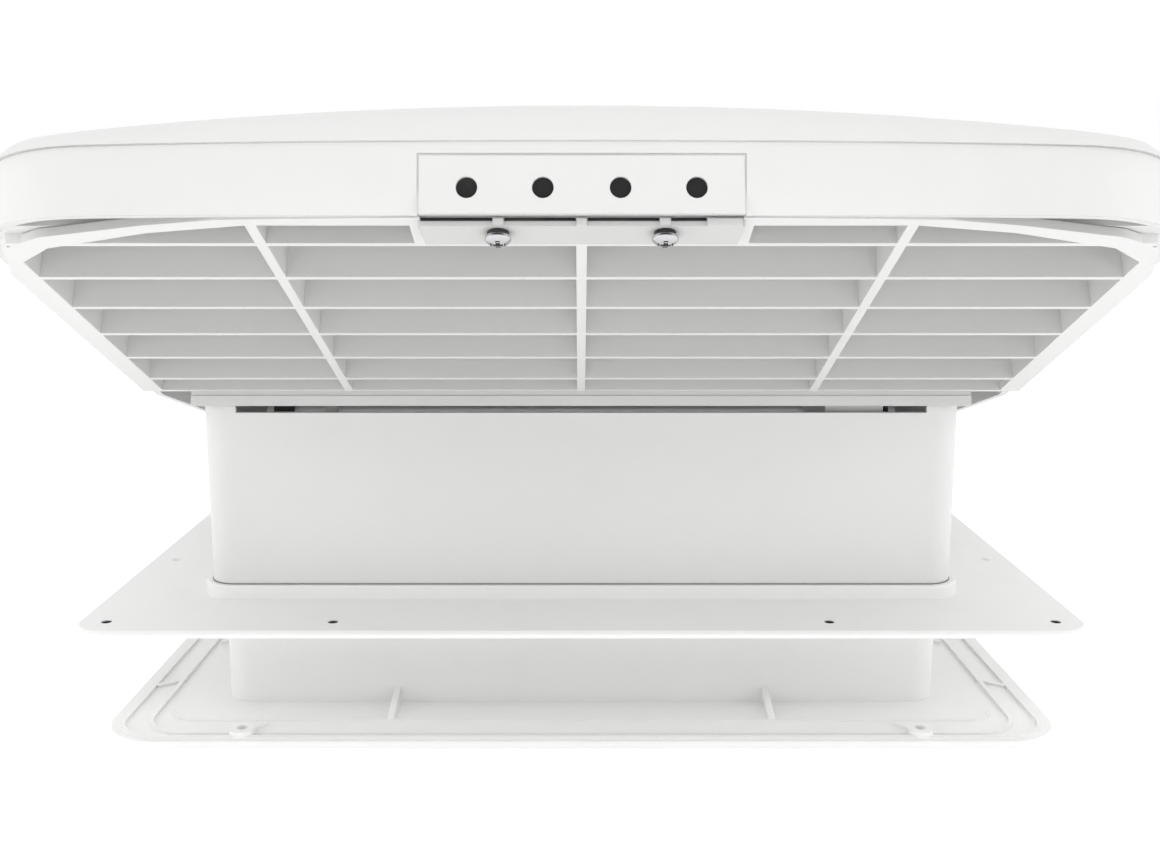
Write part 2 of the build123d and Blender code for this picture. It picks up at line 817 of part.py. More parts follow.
def make_louvre_panel():
    """Louvre panel: frame, bottom bar, upright ribs and deep slats."""
    rail_inner = lid_half_width - lid_step - lid_wall - seat_gap - louvre_rail
    foot = louvre_bar_thick
    frame = extrude(louvre_face(0, foot), -louvre_skin)
    opening = make_face(Polyline(*louvre_opening_points(rail_inner), close=True))
    frame -= Pos(0, 0, overrun) * extrude(opening, -(louvre_skin + 2 * overrun))
    grille = []
    slat_reach = rail_inner + louvre_skin
    half_rib = rib_thick / 2
    bar_foot = louvre_length - louvre_top_bar
    for index in range(slat_count):
        along = slat_top - index * slat_pitch
        low = (-slat_reach, along, -slat_depth)
        grille.append(box_between(low, (slat_reach, along + slat_thick, 0)))
    for x in (-rib_half_step, 0, rib_half_step):
        top = slat_top + slat_thick if x == 0 else bar_foot
        grille.append(box_between((x - half_rib, foot, -slat_depth), (x + half_rib, top, 0)))
    for x in (-short_rib_x, short_rib_x):
        low = (x - half_rib, slat_top, -slat_depth)
        grille.append(box_between(low, (x + half_rib, bar_foot, 0)))
    grille.append(box_between((-slat_reach, foot, -slat_depth), (slat_reach, foot + slat_thick, 0)))
    web_top = louvre_length - louvre_top_bar / 2
    grille.append(box_between((-short_rib_x, slat_top, -louvre_skin), (short_rib_x, web_top, 0)))
    for side in (-1, 1):
        x_low, x_high = sorted((side * rail_inner, side * (rail_inner + louvre_skin)))
        grille.append(box_between((x_low, foot, -slat_depth), (x_high, slat_top, 0)))
    panel = frame
    for piece in grille:
        panel += piece
    for x in (-strip_screw_x, strip_screw_x):
        panel -= rod_z(x, strip_screw_along, -louvre_skin - overrun, overrun, screw_shank_r)
    slot_low = (-plate_half, strip_top, -slat_depth - overrun)
    panel -= box_between(slot_low, (plate_half, louvre_length + overrun, overrun))
    panel = louvre_plane() * panel
    panel &= lid_plan(lid_step + lid_wall + seat_gap, 0, lid_peak_z)
    bar_front = louvre_foot_y - louvre_bar_thick
    bar_low = louvre_foot_z - louvre_bar_drop
    half = louvre_bar_half
    bar_high = (half, louvre_foot_y, bar_low + louvre_bar_height)
    panel += box_between((-half, bar_front, bar_low), bar_high)
    web_low = (-half, bar_front + louvre_web_step, bar_low)
    panel += box_between(web_low, (half, louvre_foot_y, bar_low + louvre_web_height))
    rise = box_top + post_rise - hinge_z
    sweep_r = math.hypot(hinge_y + box_side / 2, rise) + moving_gap
    return panel - rod_x(-lid_half_width, lid_half_width, hinge_y, hinge_z, sweep_r)


def louvre_opening_points(rail_inner):
    """Corners of the opening inside the louvre's frame, in the louvre's plane."""
    half = louvre_half_outline(louvre_top_bar)
    corner_top = half[2][1] - louvre_top_bar / 2
    corner = [(louvre_end_x, corner_top), (rail_inner, corner_top - 2 * louvre_top_bar)]
    lower = (rail_inner, louvre_first_opening + louvre_bar_thick / 2)
    right = [half[0], half[1], *corner, lower]
    left = [(-x, y) for x, y in reversed(right)]
    return right + left


def make_screw_strip():
    """Strip that holds the louvre's top bar under the centre plate."""
    right = [(strip_foot_half, strip_foot), (strip_top_half, strip_top)]
    left = [(-x, y) for x, y in reversed(right)]
    plate = make_face(Polyline(*(right + left), close=True))
    strip = extrude(plate, strip_thick)
    tab_end = strip_top + strip_tab_length
    half = strip_tab_width / 2
    for x in (-strip_tab_step, 0, strip_tab_step):
        strip += box_between((x - half, strip_top - overrun, 0), (x + half, tab_end, strip_thick))
    end_tab = (strip_end_tab_x, strip_top - overrun, 0)
    strip += box_between(end_tab, (strip_foot_half, tab_end, strip_thick))
    for x in (-strip_screw_x, strip_screw_x):
        strip -= rod_z(x, strip_screw_along, -overrun, overrun, screw_shank_r + seat_gap)
    return louvre_plane() * strip


def make_strip_screws():
    """The two bright screws of the strip."""
    along = strip_screw_along
    head_top = strip_thick + strip_screw_head_height
    screws = []
    for x in (-strip_screw_x, strip_screw_x):
        head = rod_z(x, along, strip_thick, head_top, strip_screw_head_r)
        head = chamfer(head.edges().group_by(Axis.Z)[-1], strip_screw_bevel)
        shank = rod_z(x, along, strip_thick - strip_screw_length, strip_thick, screw_shank_r)
        screws.append(louvre_plane() * (head + shank))
    return Compound(children=screws)


# Hinge


def hinge_sides():
    """Name and sign of X for the left and right of what comes in pairs."""
    return (("left", -1), ("right", 1))


def make_lid_hinge(side, shield_inner, cover_inner):
    """Ear that hangs from the lid's roof down to the hinge pin."""
    x_low = side * hinge_x - hinge_lid_ear_thick / 2
    x_high = x_low + hinge_lid_ear_thick
    points = [
        (hinge_y - hinge_knuckle_r, hinge_z),
        (hinge_y + hinge_knuckle_r, hinge_z - hinge_knuckle_r / 2),
        (lid_rear, hinge_z + hinge_knuckle_r),
        (lid_rear, lid_peak_z),
        (hinge_y - 2 * hinge_knuckle_r, lid_peak_z),
        (hinge_y - 2 * hinge_knuckle_r, lid_peak_z - 8 * hinge_knuckle_r),
    ]
    ear = side_prism(points, x_low, x_high)
    ear += rod_x(x_low, x_high, hinge_y, hinge_z, hinge_knuckle_r)
    ear &= shield_inner & cover_inner
    ear -= rod_x(x_low - overrun, x_high + overrun, hinge_y, hinge_z, hinge_pin_r + running_gap)
    return ear


def make_hinge_bracket(side):
    """Bracket on the box's rear wall with two ears round the lid's ear."""
    wall = box_side / 2
    middle = side * hinge_x
    half = hinge_plate_width / 2
    z_low = hinge_z - hinge_plate_height / 2
    z_high = hinge_z + hinge_plate_height / 2
    bracket = box_between((middle - half, wall, z_low), (middle + half, wall + hinge_plate_thick, z_high))
    bracket = chamfer(bracket.edges().filter_by(Axis.Y), hinge_plate_thick)
    offset = hinge_lid_ear_thick / 2 + hinge_side_gap
    for ear_side in (-1, 1):
        x_low, x_high = sorted((middle + ear_side * offset, middle + ear_side * (offset + hinge_ear_thick)))
        points = [
            (wall, z_low + hinge_plate_thick),
            (hinge_y, hinge_z - hinge_knuckle_r),
            (hinge_y, hinge_z + hinge_knuckle_r),
            (wall, z_high - hinge_plate_thick),
        ]
        bracket += side_prism(points, x_low, x_high)
        bracket += rod_x(x_low, x_high, hinge_y, hinge_z, hinge_knuckle_r)
    bracket -= rod_x(middle - half, middle + half, hinge_y, hinge_z, hinge_pin_r)
    for end in (-1, 1):
        x = middle + end * hinge_screw_half_step
        bracket -= pilot_hole_y(x, wall, hinge_z)
    return bracket


def make_hinge_pins():
    """Headed pins through the hinge ears."""
    pins = []
    reach = hinge_lid_ear_thick / 2 + hinge_side_gap + hinge_ear_thick
    for _, side in hinge_sides():
        x_low = side * hinge_x - reach
        x_high = side * hinge_x + reach
        pin = rod_x(x_low, x_high, hinge_y, hinge_z, hinge_pin_r)
        pin += rod_x(x_high, x_high + hinge_pin_head_thick, hinge_y, hinge_z, hinge_pin_head_r)
        pins.append(pin)
    return Compound(children=pins)


def hinge_screw_places():
    """Places along X of the screws through the box's rear wall."""
    step = hinge_screw_half_step
    return [side * hinge_x + end * step for _, side in hinge_sides() for end in (-1, 1)]


def make_hinge_screws():
    """Screws that hold the hinge brackets, through the box's rear wall."""
    seat = box_side / 2 + hinge_plate_thick
    screws = []
    for x in hinge_screw_places():
        screw = make_pan_screw(0, 0, 0)
        screws.append(Pos(x, seat, hinge_z) * (Rot(-90, 0, 0) * screw))
    return Compound(children=screws)


# Lift mechanism


def make_cross_shaft():
    """Shaft across the box that both lift arms are clamped on."""
    return rod_x(-lift_shaft_half, lift_shaft_half, lift_y, lift_z, lift_shaft_r)


def arm_open_angle():
    """Angle of the lift arms above the horizontal with the lid open."""
    return arm_closed_angle + arm_swing


def arm_point(angle):
    """Place of the glide's middle in the Y-Z plane for an arm angle."""
    turn = math.radians(angle)
    return lift_y + arm_length * math.cos(turn), lift_z + arm_length * math.sin(turn)


def make_lift_arm(side):
    """Arm clamped on the cross shaft, at the open angle."""
    middle = side * arm_x
    x_low = middle - arm_thick / 2
    x_high = middle + arm_thick / 2
    bar = box_between((x_low, 0, -arm_width / 2), (x_high, arm_length, arm_width / 2))
    slot_half = arm_width * arm_slot_share / 2
    slot_low = (x_low - overrun, arm_width, -slot_half)
    bar -= box_between(slot_low, (x_high + overrun, arm_length - arm_width, slot_half))
    bar += rod_x(x_low, x_high, arm_length, 0, arm_width / 2)
    hub_outer = middle + side * arm_thick / 2
    hub_low, hub_high = sorted((hub_outer, hub_outer - side * arm_hub_length))
    bar += rod_x(hub_low, hub_high, 0, 0, arm_hub_r)
    arm = Pos(0, lift_y, lift_z) * (Rot(arm_open_angle(), 0, 0) * bar)
    arm -= rod_x(x_low - arm_hub_length, x_high + arm_hub_length, lift_y, lift_z, lift_shaft_r)
    y, z = arm_point(arm_open_angle())
    arm -= rod_x(x_low - overrun, x_high + overrun, y, z, glide_r / 2)
    return arm


def make_arm_glides():
    """Nylon glides pressed into the arm ends, which run in the lid's tracks."""
    y, z = arm_point(arm_open_angle())
    glides = []
    for _, side in hinge_sides():
        inner = side * (arm_x - arm_thick / 2)
        face = side * (arm_x + arm_thick / 2)
        far = face + side * glide_length
        low, high = sorted((inner, face))
        glide = rod_x(low, high, y, z, glide_r / 2)
        low, high = sorted((face, far))
        glide += rod_x(low, high, y, z, glide_r)
        low, high = sorted((far - side * glide_head_thick, far))
        glide += rod_x(low, high, y, z, glide_head_r)
        glides.append(glide)
    return Compound(children=glides)


def glide_in_lid(share):
    """Place of the glide in the closed lid's own frame, from open (0) to closed (1)."""
    y, z = arm_point(arm_open_angle() - arm_swing * share)
    turn = math.radians(open_angle * (1 - share))
    dy = y - hinge_y
    dz = z - hinge_z
    turned_y = dy * math.cos(turn) - dz * math.sin(turn)
    turned_z = dy * math.sin(turn) + dz * math.cos(turn)
    return hinge_y + turned_y, hinge_z + turned_z


def make_lift_track(side, cover_inner):
    """Track plate under the lid's roof, with a curved slot that follows the glide."""
    gap = glide_length - glide_head_thick - track_thick
    low_x = arm_x + arm_thick / 2 + gap / 2
    x_low, x_high = sorted((side * low_x, side * (low_x + track_thick)))
    start, middle, end = (glide_in_lid(share) for share in (0, 1 / 2, 1))
    slot_r = glide_r + slot_gap
    y_low = min(start[0], end[0]) - slot_r - track_border
    y_high = max(start[0], end[0]) + slot_r + track_border
    z_low = min(start[1], end[1]) - slot_r - track_border
    foot = 3 * track_border
    points = [(y_low, z_low), (y_high, z_low)]
    points += [(y_high + foot, lid_peak_z), (y_low - foot, lid_peak_z)]
    plate = side_prism(points, x_low, x_high)
    plane = Plane(origin=(x_low, 0, 0), x_dir=(0, 1, 0), z_dir=(1, 0, 0))
    path = ThreePointArc(start, middle, end)
    slot = plane * SlotArc(path, 2 * slot_r)
    plate -= extrude(slot, track_thick + overrun) + extrude(slot, -overrun)
    return plate & cover_inner


def tooth_face(pitch_angle):
    """One tooth of the sector in the Y-Z plane, centred on an angle from -Y towards +Z."""
    half_pitch = gear_pitch * gear_tooth_share / 2
    half_tip = gear_pitch * gear_tip_share / 2
    half_root = gear_pitch * gear_root_share / 2
    root = gear_r - gear_dedendum
    tip = gear_r + gear_addendum
    deep = root - gear_dedendum
    outline = [(-deep, -half_root), (-root, -half_root), (-gear_r, -half_pitch), (-tip, -half_tip)]
    outline += [(y, -z) for y, z in reversed(outline)]
    turn = math.radians(-pitch_angle)
    cosine = math.cos(turn)
    sine = math.sin(turn)
    return [(y * cosine - z * sine, y * sine + z * cosine) for y, z in outline]


def make_sector_gear():
    """Toothed sector on the cross shaft, meshed by the worm."""
    x_low = gear_x - gear_thick / 2
    x_high = gear_x + gear_thick / 2
    root = gear_r - gear_dedendum
    low_angle = -(gear_teeth_below + 0.5) * gear_step
    high_angle = (gear_teeth_above + 0.5) * gear_step
    points = [(0, 0)]
    steps = 3
    for index in range(steps + 1):
        angle = math.radians(low_angle + (high_angle - low_angle) * index / steps)
        reach = 2 * root
        points.append((-reach * math.cos(angle), reach * math.sin(angle)))
    sector = side_prism(points, x_low, x_high) & rod_x(x_low, x_high, 0, 0, root)
    for index in range(-gear_teeth_below, gear_teeth_above):
        angle = (index + 0.5) * gear_step
        sector += side_prism(tooth_face(angle), x_low, x_high)
    sector += rod_x(gear_x - gear_hub_length / 2, gear_x + gear_hub_length / 2, 0, 0, gear_hub_r)
    sector -= rod_x(gear_x - gear_hub_length, gear_x + gear_hub_length, 0, 0, lift_shaft_r)
    return Pos(0, lift_y, lift_z) * sector


def make_crank_shaft():
    """Crank shaft with the worm cut on its upper end."""
    low = console_bottom - knob_height / 2
    length = worm_turns * gear_pitch
    worm_low = lift_z - gear_pitch / 4 - worm_turns / 2 * gear_pitch
    shaft = rod_z(0, 0, low, crank_top, crank_shaft_r)
    shaft += rod_z(0, 0, worm_low - gear_pitch / 2, worm_low + length + gear_pitch / 2, worm_root_r)
    half_base = gear_pitch * worm_base_share / 2
    half_tip = gear_pitch * worm_tip_share / 2
    sink = worm_root_r - crank_shaft_r
    path = Helix(pitch=gear_pitch, height=length, radius=worm_root_r)
    plane = Plane(origin=path @ 0, x_dir=(1, 0, 0), z_dir=path % 0)
    high = worm_tip_r - worm_root_r
    lower = [(-sink / 4, -half_base), (0, -half_base), (high, -half_tip)]
    upper = [(x, -y) for x, y in reversed(lower)]
    face = plane * make_face(Polyline(*(lower + upper), close=True))
    thread = sweep(face, path=path, is_frenet=True)
    shaft += Pos(0, 0, worm_low) * thread
    return Pos(gear_x, crank_y, 0) * shaft


def make_gearbox():
    """Housing that carries the crank shaft's upper end and the cross shaft beside the sector."""
    x_low = gear_x - gearbox_half
    x_high = gear_x + gearbox_half
    front = -box_inner_half + gearbox_front_gap
    rear = lift_y + bearing_half
    roof = gearbox_top_z + gearbox_top_thick
    roof_rear = crank_y + gearbox_top_reach
    body = box_between((x_low, front, shroud_top), (x_high, rear, shroud_top + gearbox_base))
    boss_top = shroud_top + gearbox_boss_height
    body += rod_z(gear_x, crank_y, shroud_top, boss_top, gearbox_boss_r)
    for side in (-1, 1):
        wall = gear_x + side * (gearbox_half - gearbox_wall)
        a, b = sorted((wall, gear_x + side * gearbox_half))
        points = [(front, shroud_top), (rear, shroud_top), (rear, lift_z)]
        points += [(lift_y + bearing_half / 2, lift_z + bearing_half), (roof_rear, roof), (front, roof)]
        body += side_prism(points, a, b)
    body += box_between((x_low, front, gearbox_top_z), (x_high, roof_rear, roof))
    shaft_bore = lift_shaft_r + running_gap
    body -= rod_x(x_low - overrun, x_high + overrun, lift_y, lift_z, shaft_bore)
    crank_bore = crank_shaft_r + running_gap
    body -= rod_z(gear_x, crank_y, shroud_top - overrun, box_top + 2 * overrun, crank_bore)
    return body


def make_shaft_bearing():
    """Plain bearing block for the cross shaft at the left."""
    middle = -gear_x
    front = lift_y - bearing_half
    rear = lift_y + bearing_half
    foot = bearing_foot / 2
    block_high = (middle + foot, rear, shroud_top + gearbox_base)
    block = box_between((middle - foot, front, shroud_top), block_high)
    half = gearbox_wall
    block += box_between((middle - half, front, shroud_top), (middle + half, rear, lift_z))
    block += rod_x(middle - half, middle + half, lift_y, lift_z, bearing_half)
    bore = lift_shaft_r + running_gap
    block -= rod_x(middle - bearing_foot, middle + bearing_foot, lift_y, lift_z, bore)
    return block


# Ceiling trim


def trim_hole_places():
    """Middles of the trim's six screw holes: four near the corners and one in each side."""
    edge = trim_side / 2 - trim_hole_inset
    step = trim_hole_half_step
    front_and_rear = [(x, y) for x in (-step, step) for y in (-edge, edge)]
    return front_and_rear + [(-edge, 0), (edge, 0)]


def turn_knob_places():
    """Middles of the screen's four quarter-turn knobs."""
    edge = neck_inner_half - trim_ledge_width / 2
    rear = neck_inner_half - turn_knob_inset_y
    front = console_rear + turn_knob_inset_y
    return [(x, y) for x in (-edge, edge) for y in (front, rear)]


def rim(inset_x, inset_y, corner, width, height):
    """Raised line round the trim plate, drawn in from its sides and from its front and rear."""
    size_x = trim_side - 2 * inset_x
    size_y = trim_side - 2 * inset_y
    outside = slab(size_x, size_y, corner, trim_top, trim_top + height)
    inner_size = (size_x - 2 * width, size_y - 2 * width, corner - width)
    return outside - slab(*inner_size, trim_top - overrun, trim_top + height + overrun)


def make_trim_beads():
    """Low beads along the trim's front and rear that curve round at their ends."""
    size = (trim_bead_corner_r, trim_bead_width, trim_bead_height)
    line = rim(trim_bead_inset_x, trim_bead_inset_y, *size)
    keep = trim_side / 2 - trim_bead_reach
    return line - Box(trim_side, 2 * keep, 2 * trim_under + overrun)


def make_ceiling_trim():
    """Ceiling frame with its rims and bosses, and the neck that slides up into the box."""
    plate = square_slab(trim_side, trim_corner_r, -trim_under, trim_top)
    plate = chamfer(plate.edges().group_by(Axis.Z)[0], trim_edge_r)
    rim_corner = trim_corner_r - trim_rim_inset
    rim_size = (rim_corner, trim_rim_width, trim_rim_height)
    body = plate + rim(trim_rim_inset, trim_rim_front_inset, *rim_size)
    body += rim(trim_inner_rim_inset, trim_inner_rim_front_inset, *rim_size)
    body += make_trim_beads()
    body += square_slab(trim_neck_side, trim_neck_corner_r, -trim_under, trim_neck_top)
    inner = 2 * neck_inner_half
    inner_corner = trim_neck_corner_r - trim_neck_wall
    body -= square_slab(inner, inner_corner, -trim_under - overrun, trim_neck_top + overrun)
    ledge_top = trim_ledge_z + trim_ledge_thick
    ledge = square_slab(inner + trim_neck_wall, trim_neck_corner_r, trim_ledge_z, ledge_top)
    hole = inner - 2 * trim_ledge_width
    ledge -= Pos(0, 0, trim_ledge_z) * Box(hole, hole, 2 * overrun)
    bay_low = (-inner, -inner, trim_ledge_z - overrun)
    ledge -= box_between(bay_low, (inner, console_rear + seat_gap, trim_ledge_z + overrun))
    slot_width = turn_tab_width + 2 * turn_slot_gap
    slot_length = turn_tab_length + 2 * turn_slot_gap
    for x, y in turn_knob_places():
        ledge -= Pos(x, y, trim_ledge_z) * Box(slot_width, slot_length, 2 * overrun)
    body += ledge
    for turn in (0, 90, 180, 270):
        body += Rot(0, 0, turn) * trim_side_details()
    whole_plan = square_slab(trim_side, trim_corner_r, trim_top - overrun, 0)
    for x, y in trim_hole_places():
        boss = rod_z(x, y, trim_top - trim_edge_r, trim_top + trim_boss_height, trim_boss_r)
        body += boss & whole_plan
        body -= rod_z(x, y, -trim_under - overrun, 0, trim_hole_r)
    return body


def trim_side_details():
    """Gusset ribs and centring keys on the -Y side of the trim's neck."""
    face = trim_neck_side / 2
    details = []
    for x in (-trim_gusset_x, trim_gusset_x):
        half = trim_gusset_thick / 2
        end = -face - trim_gusset_length
        points = [(-face, trim_top), (-face, trim_top + trim_gusset_height)]
        points += [(end, trim_top + trim_rim_height), (end, trim_top)]
        details.append(side_prism(points, x - half, x + half))
    boss_y = -trim_side / 2 + trim_hole_inset
    for side in (-1, 1):
        rib_length = trim_bead_inset_y - trim_hole_inset
        size = (trim_boss_rib_width, rib_length, trim_rim_height + trim_edge_r)
        middle_z = trim_top + trim_rim_height / 2 - trim_edge_r / 2
        rib = Rot(0, 0, side * trim_boss_rib_angle) * (Pos(0, rib_length / 2, 0) * Box(*size))
        details.append(Pos(side * trim_hole_half_step, boss_y, middle_z) * rib)
    key_out = box_inner_half - seat_gap
    for x in (-trim_key_half_step, trim_key_half_step):
        half = trim_key_width / 2
        low = (x - half, -key_out, plinth_height / 2)
        details.append(box_between(low, (x + half, -face + running_gap, trim_neck_top)))
    both = details[0]
    for piece in details[1:]:
        both += piece
    return both


# Console and controls


def make_control_console():
    """Open tray across the front of the neck that carries the controls."""
    z_top = console_bottom + console_height
    low = (-console_half, console_front, console_bottom)
    high = (console_half, console_rear, z_top)
    body = box_between(low, high)
    body = chamfer(body.edges().group_by(Axis.Z)[0], console_edge_r)
    wall = console_wall
    inside_low = (-console_half + wall, console_front + wall, console_floor)
    body -= box_between(inside_low, (console_half - wall, console_rear - wall, z_top + overrun))
    low_z = console_bottom - overrun
    high_z = console_floor + overrun
    body -= rod_z(gear_x, crank_y, low_z, high_z, crank_shaft_r + 2 * moving_gap)
    body -= rod_z(dial_x, console_middle, low_z, high_z, dial_stem_r + moving_gap)
    body -= rod_z(fuse_x, console_middle, low_z, high_z, fuse_r)
    length = rocker_length + 2 * moving_gap + rocker_frame_border
    width = rocker_width + 2 * moving_gap + rocker_frame_border
    body -= Pos(rocker_x, console_middle, console_bottom) * Box(length, width, 2 * overrun)
    for x in board_post_places():
        body += rod_z(x, console_middle, console_floor, console_floor + board_lift, board_post_r)
    return body


def board_post_places():
    """Places along X of the two posts under the control board."""
    half = board_width / 2 - 3 * board_post_r
    return (-half, half)


def make_control_board():
    """Circuit board on the console's posts."""
    low_z = console_floor + board_lift
    board = Box(board_width, board_depth, board_thick)
    board = Pos(0, console_middle, low_z + board_thick / 2) * board
    hole_r = dial_stem_r + moving_gap
    return board - rod_z(dial_x, console_middle, low_z - overrun, low_z + overrun, hole_r)


def make_speed_switch():
    """Rotary switch body between the console floor and the board."""
    top = console_floor + board_lift
    low_z = top - switch_body_height
    body = rod_z(dial_x, console_middle, low_z, top, switch_body_r)
    bore = dial_stem_r + running_gap
    return body - rod_z(dial_x, console_middle, low_z - overrun, top + overrun, bore)


def make_speed_dial():
    """Pointer dial under the console, with its stem up into the switch."""
    top = console_bottom - moving_gap
    dial = rod_z(dial_x, console_middle, top - dial_height + dial_pointer_height, top, dial_r)
    dial = chamfer(dial.edges().group_by(Axis.Z)[0], dial_pointer_height / 3)
    half = dial_pointer_width / 2
    reach = dial_r - running_gap
    low = (dial_x - half, console_middle - reach, top - dial_height)
    pointer = box_between(low, (dial_x + half, console_middle + reach, top - dial_height / 2))
    pointer &= rod_z(dial_x, console_middle, top - dial_height, top, reach)
    dial += pointer
    stem_top = console_floor + board_lift
    return dial + rod_z(dial_x, console_middle, top - dial_height / 2, stem_top, dial_stem_r)


def make_rocker_frame():
    """Bezel and body of the rocker switch."""
    inner_l = rocker_length + 2 * moving_gap
    inner_w = rocker_width + 2 * moving_gap
    outer_l = inner_l + 2 * rocker_frame_border
    outer_w = inner_w + 2 * rocker_frame_border
    neck_l = inner_l + rocker_frame_border
    neck_w = inner_w + rocker_frame_border
    low = console_bottom - rocker_frame_thick
    bezel = box_between((-outer_l / 2, -outer_w / 2, low), (outer_l / 2, outer_w / 2, console_bottom))
    sleeve_top = console_bottom + rocker_body_height
    sleeve = box_between((-neck_l / 2, -neck_w / 2, low), (neck_l / 2, neck_w / 2, sleeve_top))
    body = bezel + sleeve
    inside_low = (-inner_l / 2, -inner_w / 2, low - overrun)
    body -= box_between(inside_low, (inner_l / 2, inner_w / 2, sleeve_top - rocker_frame_thick))
    pin_z = console_bottom + rocker_frame_thick
    body -= Pos(0, 0, pin_z) * (Rot(90, 0, 0) * Cylinder(rocker_pin_r + running_gap, neck_w))
    return Pos(rocker_x, console_middle, 0) * body


def make_rocker_key():
    """Rocker key with its two pivot stubs."""
    pin_z = console_bottom + rocker_frame_thick
    half_l = rocker_length / 2 - moving_gap
    low = console_bottom - rocker_frame_thick
    back = low + rocker_thick
    points = [(-half_l, low - rocker_rise), (0, low), (half_l, low - rocker_rise)]
    points += [(half_l - rocker_rise, back), (-half_l + rocker_rise, back)]
    key = side_prism(points, -rocker_width / 2, rocker_width / 2)
    key = Rot(0, 0, -90) * key
    reach = rocker_width + 2 * moving_gap + rocker_frame_border
    key += Pos(0, 0, pin_z) * (Rot(90, 0, 0) * Cylinder(rocker_pin_r, reach))
    return Pos(rocker_x, console_middle, 0) * key


def make_crank_knob():
    """Lobed crank knob under the console."""
    top = console_bottom - moving_gap
    low = top - knob_height
    core = rod_z(0, 0, low, top, knob_r - knob_lobe_r)
    for index in range(knob_lobes):
        turn = math.radians(index * 360 / knob_lobes)
        reach = knob_r - knob_lobe_r
        core += rod_z(reach * math.cos(turn), reach * math.sin(turn), low, top, knob_lobe_r)
    core += rod_z(0, 0, top - knob_skirt_height, top, knob_r)
    core -= rod_z(0, 0, console_bottom - knob_height / 2, top + overrun, crank_shaft_r)
    return Pos(gear_x, crank_y, 0) * core


def make_fuse_holder():
    """Fuse holder with a slotted cap under the console."""
    low = console_bottom - fuse_cap_height
    holder = rod_z(fuse_x, console_middle, console_bottom, console_bottom + fuse_height, fuse_r)
    holder += rod_z(fuse_x, console_middle, low, console_bottom, fuse_r + console_wall)
    half = fuse_slot_width / 2
    slot_low = (fuse_x - fuse_r, console_middle - half, low - overrun)
    slot_high = (fuse_x + fuse_r, console_middle + half, low + fuse_cap_height / 2)
    return holder - box_between(slot_low, slot_high)


# Insect screen


def screen_corners():
    """Plan corners of the screen frame, behind the console."""
    half = neck_inner_half - screen_side_gap
    return -half, console_rear + screen_side_gap, half, half


def make_screen_frame():
    """Frame of the insect screen, in two bays."""
    x_low, y_low, x_high, y_high = screen_corners()
    top = trim_ledge_z - seat_gap
    low = top - screen_thick
    width = x_high - x_low
    depth = y_high - y_low
    middle_y = (y_low + y_high) / 2
    frame = slab(width, depth, screen_corner_r, low, top)
    opening_w = (width - 2 * screen_border - screen_bar_width) / 2
    opening_d = depth - 2 * screen_border
    for side in (-1, 1):
        x = side * (opening_w + screen_bar_width) / 2
        frame -= Pos(x, 0, (low + top) / 2) * Box(opening_w, opening_d, 2 * overrun)
    frame = Pos(0, middle_y, 0) * frame
    for x, y in turn_knob_places():
        frame -= rod_z(x, y, low - overrun, top + overrun, turn_shank_r + running_gap)
    return frame


def make_insect_screen():
    """Coarse net on top of the screen frame, inside the ledge."""
    x_low, y_low, x_high, y_high = screen_corners()
    top = trim_ledge_z - seat_gap
    inset = trim_ledge_width + seat_gap
    width = x_high - x_low - 2 * inset
    depth = y_high - y_low - 2 * inset
    net = Box(width, depth, mesh_thick)
    step_x = (width - mesh_wire) / mesh_count
    step_y = (depth - mesh_wire) / mesh_count
    holes = Box(step_x - mesh_wire, step_y - mesh_wire, 2 * overrun)
    cutters = [loc * holes for loc in GridLocations(step_x, step_y, mesh_count, mesh_count)]
    net = net.cut(*cutters)
    return Pos(0, (y_low + y_high) / 2, top + mesh_thick / 2) * net


def make_turn_knob(x, y):
    """Quarter-turn knob: head under the frame, tab above the ledge."""
    top = trim_ledge_z - seat_gap - screen_thick - moving_gap
    head = rod_z(0, 0, top - turn_knob_height + turn_grip_height, top, turn_knob_r)
    half = turn_grip_width / 2
    grip = box_between((-turn_knob_r, -half, top - turn_knob_height), (turn_knob_r, half, top))
    grip &= rod_z(0, 0, top - turn_knob_height, top, turn_knob_r)
    tab_low = trim_ledge_z + trim_ledge_thick + moving_gap
    shank = rod_z(0, 0, top - turn_grip_height / 2, tab_low, turn_shank_r)
    tab = Pos(0, 0, tab_low + turn_tab_thick / 2) * Box(turn_tab_length, turn_tab_width, turn_tab_thick)
    return Pos(x, y, 0) * (head + grip + shank + tab)


